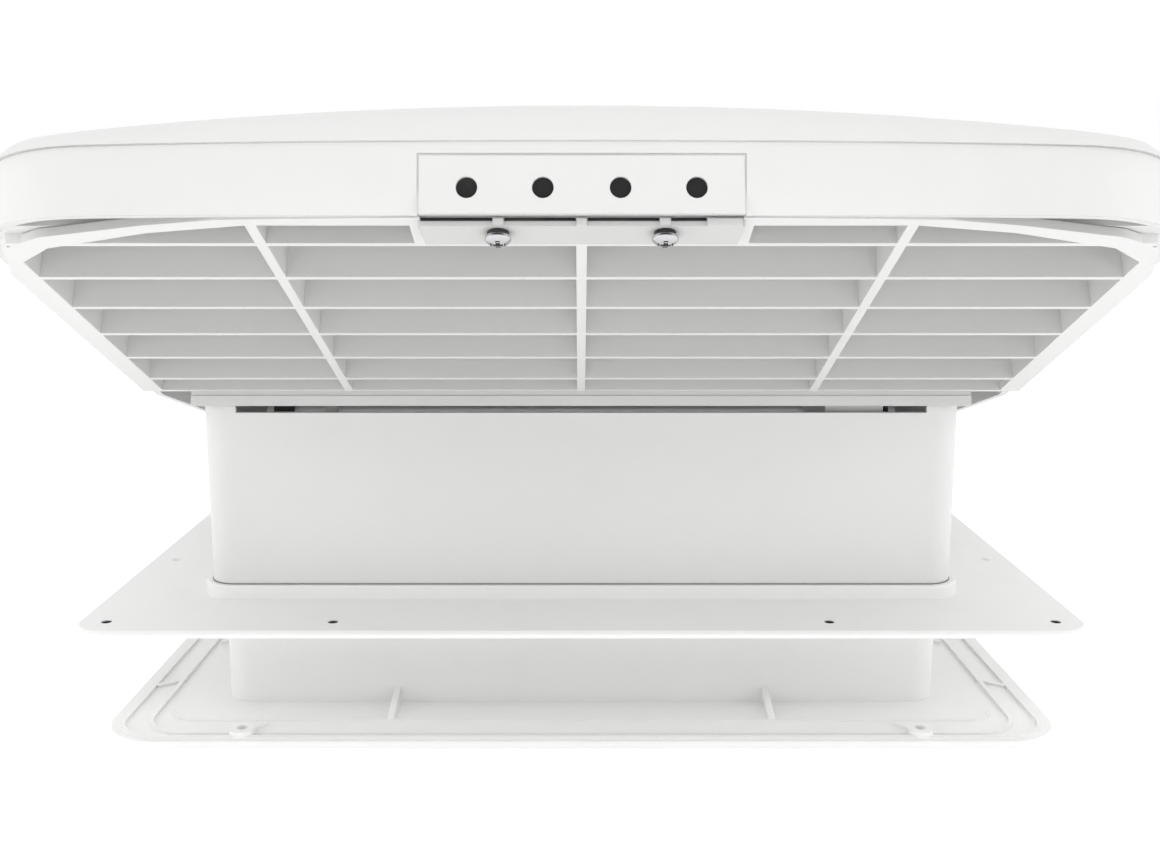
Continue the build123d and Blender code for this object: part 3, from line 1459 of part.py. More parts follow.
def main():
    """Builds every sub-part and writes it."""
    write("roof_flange", make_roof_flange())
    write("base_box", make_base_box())
    write("fan_shroud", make_fan_shroud())
    write("shroud_screws", make_shroud_screws())
    write("fan_rotor", make_fan_rotor())
    write("fan_shaft", make_fan_shaft())
    write("fan_clip", make_fan_clip())
    write("motor_bracket", make_motor_bracket())
    write("bracket_screws", make_bracket_screws())
    write("motor", make_motor())
    write("motor_terminal", make_motor_terminal())

    outer = lid_block(0)
    inner = lid_block(lid_wall)
    shield_outer = lid_block(lid_step)
    shield_inner = lid_block(lid_step + lid_wall)
    write("lid_cover", opened(make_lid_cover(outer, inner)))
    write("rain_shield", opened(make_rain_shield(shield_outer, shield_inner)))
    write("access_plate", opened(make_access_plate()))
    write("plate_plugs", opened(make_plate_plugs()))
    write("louvre_panel", opened(make_louvre_panel()))
    write("screw_strip", opened(make_screw_strip()))
    write("strip_screws", opened(make_strip_screws()))
    for name, side in hinge_sides():
        write(f"lid_hinge_{name}", opened(make_lid_hinge(side, shield_inner, inner)))
        write(f"hinge_bracket_{name}", make_hinge_bracket(side))
        write(f"lift_arm_{name}", make_lift_arm(side))
        write(f"lift_track_{name}", opened(make_lift_track(side, inner)))
    write("hinge_pins", make_hinge_pins())
    write("hinge_screws", make_hinge_screws())
    write("arm_glides", make_arm_glides())
    write("cross_shaft", make_cross_shaft())
    write("sector_gear", make_sector_gear())
    write("crank_shaft", make_crank_shaft())
    write("gearbox", make_gearbox())
    write("shaft_bearing", make_shaft_bearing())

    write("ceiling_trim", make_ceiling_trim())
    write("control_console", make_control_console())
    write("control_board", make_control_board())
    write("speed_switch", make_speed_switch())
    write("speed_dial", make_speed_dial())
    write("rocker_frame", make_rocker_frame())
    write("rocker_key", make_rocker_key())
    write("crank_knob", make_crank_knob())
    write("fuse_holder", make_fuse_holder())
    write("screen_frame", make_screen_frame())
    write("insect_screen", make_insect_screen())
    for index, (x, y) in enumerate(turn_knob_places()):
        write(f"screen_knob_{index + 1}", make_turn_knob(x, y))


main()
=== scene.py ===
import logging
import math
from dataclasses import dataclass, field
from enum import Enum
from typing import Iterable, Optional, Sequence

import bmesh
import bpy
from mathutils import Matrix, Vector


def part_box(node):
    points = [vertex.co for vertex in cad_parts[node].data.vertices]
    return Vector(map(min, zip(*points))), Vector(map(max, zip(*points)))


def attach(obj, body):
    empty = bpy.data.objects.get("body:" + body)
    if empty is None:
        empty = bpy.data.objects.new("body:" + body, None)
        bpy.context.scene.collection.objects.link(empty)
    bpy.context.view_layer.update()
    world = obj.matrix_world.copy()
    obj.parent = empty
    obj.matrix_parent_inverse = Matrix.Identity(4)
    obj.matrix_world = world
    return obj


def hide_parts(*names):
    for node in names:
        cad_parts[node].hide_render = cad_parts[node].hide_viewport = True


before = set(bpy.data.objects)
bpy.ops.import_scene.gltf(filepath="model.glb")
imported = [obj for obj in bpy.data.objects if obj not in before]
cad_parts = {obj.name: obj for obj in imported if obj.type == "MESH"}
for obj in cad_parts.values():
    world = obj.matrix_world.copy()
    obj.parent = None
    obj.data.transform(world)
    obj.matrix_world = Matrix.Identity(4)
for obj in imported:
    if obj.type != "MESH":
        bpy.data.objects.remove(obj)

LOG = logging.getLogger("roof_vent")
MM = 0.001
WELD_REACH = 0.00001
NODE_CREASE = math.radians(24)
PIECE_CREASE = math.radians(35)
ROUND_STEPS = 24
Point = tuple[float, float, float]


class Along(Enum):
    """Direction that a turned piece looks in."""

    UP = (0.0, 0.0, 1.0)
    REAR = (0.0, 1.0, 0.0)


# Mesh helpers


def metres(values: Sequence[float]) -> Vector:
    """Gives a point in metres.

    Args:
        values: The point in millimetres.

    Returns:
        The same point in metres.
    """
    return Vector(values) * MM


def spun(profile: Sequence[tuple[float, float]], steps: int) -> bmesh.types.BMesh:
    """Turns a profile once round the Z axis into a closed piece.

    Args:
        profile: Radius and height of each corner, in millimetres.
        steps: Number of faces round the piece.

    Returns:
        The turned mesh, in metres.
    """
    mesh = bmesh.new()
    corners = [mesh.verts.new(metres((radius, 0.0, height))) for radius, height in profile]
    edges = [mesh.edges.new(pair) for pair in zip(corners, corners[1:])]
    bmesh.ops.spin(
        mesh, geom=corners + edges, cent=(0, 0, 0), axis=(0, 0, 1),
        angle=math.tau, steps=steps, use_merge=True, use_duplicate=False,
    )
    bmesh.ops.remove_doubles(mesh, verts=mesh.verts, dist=1e-6)
    bmesh.ops.recalc_face_normals(mesh, faces=mesh.faces)
    return mesh


def block(size: Point, centre: Point) -> bmesh.types.BMesh:
    """Makes a rectangular block.

    Args:
        size: Its three sides, in millimetres.
        centre: Its middle, in millimetres.

    Returns:
        The block's mesh, in metres.
    """
    mesh = bmesh.new()
    bmesh.ops.create_cube(mesh, size=1.0)
    bmesh.ops.scale(mesh, vec=metres(size), verts=mesh.verts)
    bmesh.ops.translate(mesh, vec=metres(centre), verts=mesh.verts)
    return mesh


def square_outline(side: float, corner: float, steps: int) -> list[tuple[float, float]]:
    """Gives the points of a square with rounded corners.

    Args:
        side: The square's side, in millimetres.
        corner: Radius of its corners, in millimetres.
        steps: Number of steps round each corner.

    Returns:
        The points, once round, in millimetres.
    """
    reach = side / 2 - corner
    points = []
    for quarter, (sign_x, sign_y) in enumerate(((1, 1), (-1, 1), (-1, -1), (1, -1))):
        for step in range(steps + 1):
            angle = (quarter + step / steps) * math.pi / 2
            x = sign_x * reach + corner * math.cos(angle)
            y = sign_y * reach + corner * math.sin(angle)
            points.append((x, y))
    return points


def square_band(
    side: float, corner: float, width: float, low: float, high: float, steps: int = 8,
) -> bmesh.types.BMesh:
    """Makes a thin band round a square box.

    Args:
        side: The box's side, in millimetres.
        corner: Radius of its corners, in millimetres.
        width: How far the band stands out, in millimetres.
        low: Height of its lower edge, in millimetres.
        high: Height of its upper edge, in millimetres.
        steps: Number of steps round each corner.

    Returns:
        The band's mesh, in metres.
    """
    mesh = bmesh.new()
    inner = square_outline(side, corner, steps)
    outer = square_outline(side + 2 * width, corner + width, steps)
    loops = [
        [mesh.verts.new(metres((x, y, z))) for x, y in points]
        for points, z in ((inner, low), (outer, low), (outer, high), (inner, high))
    ]
    count = len(inner)
    for first, second in zip(loops, loops[1:] + loops[:1]):
        for index in range(count):
            after = (index + 1) % count
            mesh.faces.new((first[index], first[after], second[after], second[index]))
    bmesh.ops.recalc_face_normals(mesh, faces=mesh.faces)
    return mesh


def moved(mesh: bmesh.types.BMesh, matrix: Matrix) -> bmesh.types.BMesh:
    """Puts a mesh in its place.

    Args:
        mesh: The mesh to move.
        matrix: The transform to its place.

    Returns:
        The same mesh.
    """
    bmesh.ops.transform(mesh, matrix=matrix, verts=mesh.verts)
    return mesh


def gathered(meshes: Iterable[bmesh.types.BMesh]) -> bmesh.types.BMesh:
    """Puts several meshes in one.

    Args:
        meshes: The meshes, which are freed.

    Returns:
        One mesh that holds them all.
    """
    whole = bmesh.new()
    for mesh in meshes:
        part = bpy.data.meshes.new("part")
        mesh.to_mesh(part)
        whole.from_mesh(part)
        mesh.free()
        bpy.data.meshes.remove(part)
    return whole


def facing(direction: Along, place: Point) -> Matrix:
    """Gives the transform of a piece that was made looking up.

    Args:
        direction: Where it looks in the end.
        place: Where its origin goes, in millimetres.

    Returns:
        The transform.
    """
    turn = Vector((0, 0, 1)).rotation_difference(Vector(direction.value)).to_matrix().to_4x4()
    return Matrix.Translation(metres(place)) @ turn


def shown(
    name: str, mesh: bmesh.types.BMesh, finish: bpy.types.Material, body: str,
    smooth: bool = False, replaces: Sequence[str] = (),
) -> bpy.types.Object:
    """Makes a mesh a piece of the object.

    Args:
        name: The piece's name.
        mesh: Its mesh in its place, which is freed.
        finish: Its material.
        body: The body that it moves with.
        smooth: Whether its faces are shaded smooth.
        replaces: The nodes that it stands for.

    Returns:
        The piece.
    """
    data = bpy.data.meshes.new(name)
    for face in mesh.faces:
        face.smooth = smooth
    mesh.to_mesh(data)
    mesh.free()
    data.materials.append(finish)
    piece = bpy.data.objects.new(name, data)
    bpy.context.scene.collection.objects.link(piece)
    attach(piece, body)
    if replaces:
        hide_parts(*replaces)
    if smooth:
        split = piece.modifiers.new("crease", "EDGE_SPLIT")
        split.split_angle = PIECE_CREASE
    LOG.info("piece %s on %s", name, body)
    return piece


def carved(mesh: bmesh.types.BMesh, cutter: bmesh.types.BMesh) -> bmesh.types.BMesh:
    """Cuts one mesh out of another.

    Args:
        mesh: The mesh to cut, which is freed.
        cutter: The shape that is taken out, which is freed.

    Returns:
        What is left of the first mesh.
    """
    pair = []
    for name, shape in (("kept", mesh), ("cut", cutter)):
        data = bpy.data.meshes.new(name)
        shape.to_mesh(data)
        shape.free()
        made = bpy.data.objects.new(name, data)
        bpy.context.scene.collection.objects.link(made)
        pair.append(made)
    kept, cut = pair
    boolean = kept.modifiers.new("cut", "BOOLEAN")
    boolean.operation = "DIFFERENCE"
    boolean.solver = "EXACT"
    boolean.object = cut
    depsgraph = bpy.context.evaluated_depsgraph_get()
    result = bpy.data.meshes.new_from_object(kept.evaluated_get(depsgraph))
    left = bmesh.new()
    left.from_mesh(result)
    for made in pair:
        data = made.data
        bpy.data.objects.remove(made)
        bpy.data.meshes.remove(data)
    bpy.data.meshes.remove(result)
    return left


# Shared effects of the finishes


class NodeSheet:
    """Small helper that adds nodes to one node tree."""

    def __init__(self, tree: bpy.types.NodeTree) -> None:
        """Keeps the tree that nodes are added to.

        Args:
            tree: The node tree.
        """
        self.tree = tree

    def add(self, kind: str, **settings: object) -> bpy.types.Node:
        """Adds one node.

        Args:
            kind: Blender's name of the node's type.
            settings: Values of the node's own properties.

        Returns:
            The node.
        """
        node = self.tree.nodes.new(kind)
        for key, value in settings.items():
            setattr(node, key, value)
        return node

    def join(self, start: bpy.types.NodeSocket, end: bpy.types.NodeSocket) -> None:
        """Links an output to an input.

        Args:
            start: The output.
            end: The input.
        """
        self.tree.links.new(start, end)


class EffectGroup:
    """A shader node group with named inputs and outputs, built once."""

    def __init__(self, name: str, inputs: dict[str, object], outputs: dict[str, str]) -> None:
        """Makes an empty group.

        Args:
            name: The group's name.
            inputs: Each input's name and first value.
            outputs: Each output's name and socket type.
        """
        self.group = bpy.data.node_groups.new(name, "ShaderNodeTree")
        for label, value in inputs.items():
            kind = "NodeSocketColor" if isinstance(value, tuple) else "NodeSocketFloat"
            socket = self.group.interface.new_socket(name=label, in_out="INPUT", socket_type=kind)
            socket.default_value = value
        for label, kind in outputs.items():
            self.group.interface.new_socket(name=label, in_out="OUTPUT", socket_type=kind)
        self.sheet = NodeSheet(self.group)
        self.entry = self.sheet.add("NodeGroupInput")
        self.exit = self.sheet.add("NodeGroupOutput")

    def placed(self, sheet: NodeSheet, values: dict[str, object]) -> bpy.types.Node:
        """Places the group in a material.

        Args:
            sheet: The material's nodes.
            values: The group's own values there.

        Returns:
            The placed group node.
        """
        node = sheet.add("ShaderNodeGroup", node_tree=self.group)
        for label, value in values.items():
            node.inputs[label].default_value = value
        return node


class MouldGrain(EffectGroup):
    """Fine surface grain of moulded plastic, over softly rounded edges."""

    def __init__(self) -> None:
        """Builds the group."""
        super().__init__(
            "mould_grain",
            {"Grain Scale": 900.0, "Grain Depth": 0.05, "Wave Depth": 0.02, "Edge Radius": 0.0004},
            {"Normal": "NodeSocketVector"},
        )
        sheet = self.sheet
        place = sheet.add("ShaderNodeTexCoord")
        grain = sheet.add("ShaderNodeTexNoise", noise_dimensions="3D")
        grain.inputs["Detail"].default_value = 3.0
        waves = sheet.add("ShaderNodeTexNoise", noise_dimensions="3D")
        waves.inputs["Scale"].default_value = 14.0
        edges = sheet.add("ShaderNodeBevel", samples=4)
        slow = sheet.add("ShaderNodeBump")
        slow.inputs["Distance"].default_value = 0.004
        fine = sheet.add("ShaderNodeBump")
        fine.inputs["Distance"].default_value = 0.0004
        sheet.join(place.outputs["Object"], grain.inputs["Vector"])
        sheet.join(place.outputs["Object"], waves.inputs["Vector"])
        sheet.join(self.entry.outputs["Grain Scale"], grain.inputs["Scale"])
        sheet.join(self.entry.outputs["Edge Radius"], edges.inputs["Radius"])
        sheet.join(edges.outputs["Normal"], slow.inputs["Normal"])
        sheet.join(waves.outputs["Fac"], slow.inputs["Height"])
        sheet.join(self.entry.outputs["Wave Depth"], slow.inputs["Strength"])
        sheet.join(slow.outputs["Normal"], fine.inputs["Normal"])
        sheet.join(grain.outputs["Fac"], fine.inputs["Height"])
        sheet.join(self.entry.outputs["Grain Depth"], fine.inputs["Strength"])
        sheet.join(fine.outputs["Normal"], self.exit.inputs["Normal"])


class ToneDrift(EffectGroup):
    """Slow drift of a colour over a moulding, with a little dust in patches."""

    def __init__(self) -> None:
        """Builds the group."""
        super().__init__(
            "tone_drift",
            {
                "Color": (0.8, 0.8, 0.8, 1.0), "Dust Color": (0.5, 0.47, 0.42, 1.0),
                "Drift": 0.04, "Dust": 0.05, "Scale": 9.0,
            },
            {"Color": "NodeSocketColor", "Dust Mask": "NodeSocketFloat"},
        )
        sheet = self.sheet
        place = sheet.add("ShaderNodeTexCoord")
        slow = sheet.add("ShaderNodeTexNoise", noise_dimensions="3D")
        slow.inputs["Detail"].default_value = 2.0
        spots = sheet.add("ShaderNodeTexNoise", noise_dimensions="3D")
        spots.inputs["Scale"].default_value = 60.0
        spots.inputs["Detail"].default_value = 6.0
        spread = sheet.add("ShaderNodeMapRange")
        spread.inputs["To Min"].default_value = -1.0
        swing = sheet.add("ShaderNodeMath", operation="MULTIPLY_ADD")
        swing.inputs[2].default_value = 1.0
        drifted = sheet.add("ShaderNodeVectorMath", operation="SCALE")
        gate = sheet.add("ShaderNodeMapRange")
        gate.inputs["From Min"].default_value = 0.52
        gate.inputs["From Max"].default_value = 0.8
        amount = sheet.add("ShaderNodeMath", operation="MULTIPLY")
        mix = sheet.add("ShaderNodeMix", data_type="RGBA")
        sheet.join(place.outputs["Object"], slow.inputs["Vector"])
        sheet.join(place.outputs["Object"], spots.inputs["Vector"])
        sheet.join(self.entry.outputs["Scale"], slow.inputs["Scale"])
        sheet.join(slow.outputs["Fac"], spread.inputs["Value"])
        sheet.join(spread.outputs["Result"], swing.inputs[0])
        sheet.join(self.entry.outputs["Drift"], swing.inputs[1])
        sheet.join(self.entry.outputs["Color"], drifted.inputs[0])
        sheet.join(swing.outputs["Value"], drifted.inputs["Scale"])
        sheet.join(spots.outputs["Fac"], gate.inputs["Value"])
        sheet.join(gate.outputs["Result"], amount.inputs[0])
        sheet.join(self.entry.outputs["Dust"], amount.inputs[1])
        sheet.join(amount.outputs["Value"], mix.inputs["Factor"])
        sheet.join(drifted.outputs["Vector"], mix.inputs[6])
        sheet.join(self.entry.outputs["Dust Color"], mix.inputs[7])
        sheet.join(mix.outputs[2], self.exit.inputs["Color"])
        sheet.join(amount.outputs["Value"], self.exit.inputs["Dust Mask"])


class RubbedGloss(EffectGroup):
    """Roughness that changes in soft patches and fine wiped streaks."""

    def __init__(self) -> None:
        """Builds the group."""
        super().__init__(
            "rubbed_gloss",
            {"Roughness": 0.4, "Spread": 0.06, "Scale": 25.0, "Streaks": 0.04},
            {"Roughness": "NodeSocketFloat"},
        )
        sheet = self.sheet
        place = sheet.add("ShaderNodeTexCoord")
        patches = sheet.add("ShaderNodeTexNoise", noise_dimensions="3D")
        patches.inputs["Detail"].default_value = 4.0
        stretch = sheet.add("ShaderNodeMapping")
        stretch.inputs["Scale"].default_value = (40.0, 600.0, 600.0)
        streaks = sheet.add("ShaderNodeTexNoise", noise_dimensions="3D")
        streaks.inputs["Scale"].default_value = 1.0
        centred = sheet.add("ShaderNodeMapRange")
        centred.inputs["To Min"].default_value = -1.0
        lines = sheet.add("ShaderNodeMapRange")
        lines.inputs["From Min"].default_value = 0.6
        lines.inputs["From Max"].default_value = 0.75
        first = sheet.add("ShaderNodeMath", operation="MULTIPLY_ADD")
        second = sheet.add("ShaderNodeMath", operation="MULTIPLY_ADD", use_clamp=True)
        sheet.join(place.outputs["Object"], patches.inputs["Vector"])
        sheet.join(place.outputs["Object"], stretch.inputs["Vector"])
        sheet.join(stretch.outputs["Vector"], streaks.inputs["Vector"])
        sheet.join(self.entry.outputs["Scale"], patches.inputs["Scale"])
        sheet.join(patches.outputs["Fac"], centred.inputs["Value"])
        sheet.join(centred.outputs["Result"], first.inputs[0])
        sheet.join(self.entry.outputs["Spread"], first.inputs[1])
        sheet.join(self.entry.outputs["Roughness"], first.inputs[2])
        sheet.join(streaks.outputs["Fac"], lines.inputs["Value"])
        sheet.join(lines.outputs["Result"], second.inputs[0])
        sheet.join(self.entry.outputs["Streaks"], second.inputs[1])
        sheet.join(first.outputs["Value"], second.inputs[2])
        sheet.join(second.outputs["Value"], self.exit.inputs["Roughness"])


@dataclass
class Effects:
    """The effect groups that the finishes share."""

    grain: MouldGrain = field(default_factory=MouldGrain)
    tone: ToneDrift = field(default_factory=ToneDrift)
    gloss: RubbedGloss = field(default_factory=RubbedGloss)


@dataclass(frozen=True)
class Finish:
    """One finish of the vent: its colour, gloss, grain and dust."""

    name: str
    color: Point
    roughness: float = 0.4
    metallic: float = 0.0
    coat: float = 0.0
    coat_roughness: float = 0.12
    grain_scale: float = 900.0
    grain_depth: float = 0.05
    wave_depth: float = 0.02
    edge_radius: float = 0.4
    drift: float = 0.02
    dust: float = 0.04
    spread: float = 0.05
    streaks: float = 0.03

    def built(self, effects: Effects) -> bpy.types.Material:
        """Builds the material.

        Args:
            effects: The shared effect groups.

        Returns:
            The material.
        """
        material = bpy.data.materials.new(self.name)
        material.use_nodes = True
        material.diffuse_color = (*self.color, 1.0)
        sheet = NodeSheet(material.node_tree)
        surface = material.node_tree.nodes["Principled BSDF"]
        tone = effects.tone.placed(
            sheet, {"Color": (*self.color, 1.0), "Drift": self.drift, "Dust": self.dust},
        )
        gloss = effects.gloss.placed(
            sheet, {"Roughness": self.roughness, "Spread": self.spread, "Streaks": self.streaks},
        )
        grain = effects.grain.placed(
            sheet,
            {
                "Grain Scale": self.grain_scale, "Grain Depth": self.grain_depth,
                "Wave Depth": self.wave_depth, "Edge Radius": self.edge_radius * MM,
            },
        )
        surface.inputs["Metallic"].default_value = self.metallic
        surface.inputs["Coat Weight"].default_value = self.coat
        surface.inputs["Coat Roughness"].default_value = self.coat_roughness
        sheet.join(tone.outputs["Color"], surface.inputs["Base Color"])
        sheet.join(gloss.outputs["Roughness"], surface.inputs["Roughness"])
        sheet.join(grain.outputs["Normal"], surface.inputs["Normal"])
        return material


@dataclass
class Finishes:
    """All the finishes of the vent, built once."""

    effects: Effects = field(default_factory=Effects)

    def __post_init__(self) -> None:
        """Builds every material."""
        wanted = {
            # Lid, louvre, base, flange and trim are one white plastic; their colours differ as
            # painted light and shade, lighter on flange and trim and darker on lid, louvre and
            # base, set to the tones light gives each part.
            "lid": Finish("lid_white_plastic", (0.72, 0.72, 0.714), 0.42, coat=0.04),
            "louvre": Finish("louvre_white_plastic", (0.73, 0.73, 0.724), 0.45),
            "base": Finish("base_white_plastic", (0.76, 0.76, 0.754), 0.45),
            "flange": Finish("flange_white_plastic", (0.9, 0.9, 0.893), 0.45),
            "trim": Finish("trim_white_plastic", (0.9, 0.9, 0.893), 0.42, coat=0.03),
            "inner": Finish("inner_white_plastic", (0.82, 0.82, 0.813), 0.5, dust=0.06),
            "strip": Finish("strip_white_plastic", (0.6, 0.6, 0.595), 0.5, dust=0.08),
            "fan": Finish("fan_white_plastic", (0.64, 0.64, 0.635), 0.42, dust=0.12),
            "steel": Finish(
                "zinc_plated_steel", (0.82, 0.82, 0.83), 0.38, metallic=1.0,
                grain_depth=0.08, edge_radius=0.2, streaks=0.15,
            ),
            "chrome": Finish(
                "bright_screw_metal", (0.55, 0.55, 0.56), 0.08, metallic=1.0,
                grain_depth=0.01, edge_radius=0.15, spread=0.03,
            ),
            "motor": Finish(
                "motor_can_metal", (0.8, 0.8, 0.81), 0.34, metallic=1.0, streaks=0.2,
            ),
            # Black plastic for the real black parts; the same finish paints the shade in the strip
            # screws' recesses.
            "black": Finish(
                "black_plastic", (0.018, 0.018, 0.019), 0.45, dust=0.06, drift=0.1,
            ),
            # Black rubber for the plate plugs; the same finish is painted shade on the flange hole
            # sleeves and the slot strips.
            "rubber": Finish(
                "black_rubber", (0.012, 0.012, 0.012), 0.7, dust=0.08, grain_depth=0.12,
            ),
            # Grey used only for the painted shadow band at the box's foot.
            "gasket": Finish("grey_gap_shade", (0.2, 0.2, 0.2), 0.6, dust=0.1),
            "board": Finish("board_lacquer", (0.02, 0.12, 0.05), 0.3, coat=0.3),
            "net": Finish("net_coating", (0.11, 0.11, 0.115), 0.55, edge_radius=0.05),
        }
        self.materials = {key: finish.built(self.effects) for key, finish in wanted.items()}

    def __getitem__(self, key: str) -> bpy.types.Material:
        """Gives a material.

        Args:
            key: The finish's short name.

        Returns:
            The material.
        """
        return self.materials[key]


def dress(nodes: Iterable[str], finish: bpy.types.Material) -> None:
    """Gives nodes their material and smooth shading between sharp edges.

    Args:
        nodes: Names of the nodes.
        finish: The material.
    """
    for name in nodes:
        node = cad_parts[name]
        node.data.materials.clear()
        node.data.materials.append(finish)
        node.data.shade_smooth()
        weld = node.modifiers.new("weld", "WELD")
        weld.merge_threshold = WELD_REACH
        split = node.modifiers.new("crease", "EDGE_SPLIT")
        split.split_angle = NODE_CREASE
        LOG.info("node %s dressed in %s", name, finish.name)


@dataclass
class CrossScrew:
    """Pan-head screw with a cross recess, made looking up with its seat at zero."""

    head_radius: float = 3.2
    head_height: float = 2.2
    shank_radius: float = 1.5
    length: float = 9.0
    recess_width: float = 0.9
    recess_reach: float = 1.9
    recess_depth: float = 1.4
    crown: float = 0.85
    dome_shares: tuple[float, ...] = (0.25, 0.5, 0.7, 0.85, 0.95, 1.0)
    dome_bend: float = 0.98
    tip_length: float = 1.5
    tip_radius: float = 0.2
    head_steps: int = 32
    recess_start: float = 0.3
    recess_taper: Point = (0.35, 0.8, 1.0)
    recess_shade_range: tuple[float, float] = (-1.0, -0.3)
    recess_shade_share: tuple[float, float] = (1.7, 0.9)

    def mesh(self) -> bmesh.types.BMesh:
        """Builds the screw.

        Returns:
            Its mesh, in metres.
        """
        radius, height = self.head_radius, self.head_height
        profile = [(0.0, height)]
        for share in self.dome_shares:
            drop = height * self.crown * (1.0 - math.sqrt(1.0 - (share * self.dome_bend) ** 2))
            profile.append((radius * share, height - drop))
        profile += [
            (radius, 0.0), (self.shank_radius, 0.0),
            (self.shank_radius, -self.length + self.tip_length),
            (self.tip_radius, -self.length), (0.0, -self.length),
        ]
        head = spun(profile, self.head_steps)
        top = height + self.recess_start
        cuts = []
        for turn in (0.0, math.pi / 2):
            size = (2 * self.recess_reach, self.recess_width, 2 * self.recess_depth)
            bar = block(size, (0.0, 0.0, top))
            low = [v for v in bar.verts if v.co.z < top * MM]
            bmesh.ops.scale(bar, vec=self.recess_taper, verts=low)
            cuts.append(moved(bar, Matrix.Rotation(turn, 4, "Z")))
        for cut in cuts:
            head = carved(head, cut)
        return head

    def at(self, matrix: Matrix) -> bmesh.types.BMesh:
        """Builds the screw and puts it in its place.

        Args:
            matrix: The transform to its place.

        Returns:
            Its mesh, in metres.
        """
        return moved(self.mesh(), matrix)

    def recess_shade(self) -> bmesh.types.BMesh:
        """Builds a dark cross deep in the recess, which paints the shade in the recess.

        Returns:
            Its mesh, in metres.
        """
        low, high = (self.head_height + level for level in self.recess_shade_range)
        reach, width = self.recess_shade_share
        size = (reach * self.recess_reach, width * self.recess_width, high - low)
        bars = [
            moved(block(size, (0.0, 0.0, (low + high) / 2)), Matrix.Rotation(turn, 4, "Z"))
            for turn in (0.0, math.pi / 2)
        ]
        return gathered(bars)


@dataclass
class RoofBase:
    """Roof flange, box and everything that is fixed in the box."""

    hinge_x: float = 120.0
    hinge_z: float = 33.0
    hinge_seat_y: float = 167.35
    hinge_screw_step: float = 15.0
    shroud_top: float = 54.5
    post_reach: float = 154.05
    bracket_top: float = 56.5
    bracket_reach: float = 171.0
    bracket_spread: float = 60.0
    hole_reach: float = 197.0
    hole_step: float = 103.0
    sleeve_radius: float = 2.15
    sleeve_wall: float = 0.35
    sleeve_foot: float = 0.1
    sleeve_height: float = 2.6
    box_side: float = 328.7
    box_corner: float = 12.0
    plinth_top: float = 9.2
    gap_shade_width: float = 0.35
    gap_shade_height: float = 0.4
    gap_shade_offset: float = 0.01

    def build(self, finishes: Finishes) -> None:
        """Dresses the base and adds its screws, dark sleeves in its holes as painted shade and a
        dark band of painted shade at the box's foot.

        Args:
            finishes: All the finishes.
        """
        dress(("roof_flange",), finishes["flange"])
        dress(("base_box", "hinge_bracket_left", "hinge_bracket_right"), finishes["base"])
        dress(("fan_shroud", "gearbox", "shaft_bearing"), finishes["inner"])
        dress(("motor_bracket", "hinge_pins"), finishes["steel"])
        dress(("motor",), finishes["motor"])
        dress(("motor_terminal",), finishes["black"])
        self.hinge_screws(finishes)
        self.shroud_screws(finishes)
        self.bracket_screws(finishes)
        self.hole_shade_sleeves(finishes)
        self.foot_gap_shade(finishes)

    def foot_gap_shade(self, finishes: Finishes) -> None:
        """Adds a dark grey band round the foot of the box as painted shade, standing for the shadow
        in the gap between box and plinth.

        Args:
            finishes: All the finishes.
        """
        low = self.plinth_top + self.gap_shade_offset
        side = self.box_side + 2 * self.gap_shade_offset
        high = low + self.gap_shade_height
        mesh = square_band(side, self.box_corner, self.gap_shade_width, low, high)
        # Grey band that paints the shadow in the gap under the box.
        shown("box_foot_gap_shade", mesh, finishes["gasket"], "housing", True, ())

    def hole_shade_sleeves(self, finishes: Finishes) -> None:
        """Adds thin dark sleeves in the flange's screw holes as painted shade, darkening the holes
        where shade falls.

        Args:
            finishes: All the finishes.
        """
        edge, step = self.hole_reach, self.hole_step
        places = [(x, y) for x in (-edge, -step, step, edge) for y in (-edge, edge)]
        inner = self.sleeve_radius - self.sleeve_wall
        foot, top = self.sleeve_foot, self.sleeve_height
        ring = [
            (inner, foot), (inner, top), (self.sleeve_radius, top),
            (self.sleeve_radius, foot), (inner, foot),
        ]
        sleeves = [
            moved(spun(ring, ROUND_STEPS), facing(Along.UP, (x, y, 0.0))) for x, y in places
        ]
        mesh = gathered(sleeves)
        # Black sleeves that paint shade into the screw holes.
        shown("flange_hole_shade_sleeves", mesh, finishes["rubber"], "housing", True, ())

    def hinge_screws(self, finishes: Finishes) -> None:
        """Adds the four screws of the hinge brackets.

        Args:
            finishes: All the finishes.
        """
        screw = CrossScrew()
        across = [
            side * self.hinge_x + end * self.hinge_screw_step for side in (-1, 1) for end in (-1, 1)
        ]
        places = [facing(Along.REAR, (x, self.hinge_seat_y, self.hinge_z)) for x in across]
        self.show_screws("hinge", screw, places, finishes)

    def shroud_screws(self, finishes: Finishes) -> None:
        """Adds the four screws of the shroud.

        Args:
            finishes: All the finishes.
        """
        screw = CrossScrew()
        reach = self.post_reach
        places = [
            facing(Along.UP, (x, y, self.shroud_top))
            for x in (-reach, reach) for y in (-reach, reach)
        ]
        self.show_screws("shroud", screw, places, finishes)

    def bracket_screws(self, finishes: Finishes) -> None:
        """Adds the four screws of the motor bracket.

        Args:
            finishes: All the finishes.
        """
        screw = CrossScrew()
        x = self.bracket_reach * math.cos(math.radians(self.bracket_spread))
        y = self.bracket_reach * math.sin(math.radians(self.bracket_spread))
        places = [facing(Along.UP, (a, b, self.bracket_top)) for a in (-x, x) for b in (-y, y)]
        self.show_screws("bracket", screw, places, finishes)

    def show_screws(
        self, group: str, screw: CrossScrew, places: Sequence[Matrix], finishes: Finishes,
    ) -> None:
        """Puts one group of steel screws in place of the plain ones.

        Args:
            group: First word of the group's name.
            screw: The screw.
            places: The transform to each screw's place.
            finishes: All the finishes.
        """
        mesh = gathered(screw.at(place) for place in places)
        plain = [f"{group}_screws"]
        shown(f"{group}_cross_screws", mesh, finishes["steel"], "housing", True, plain)


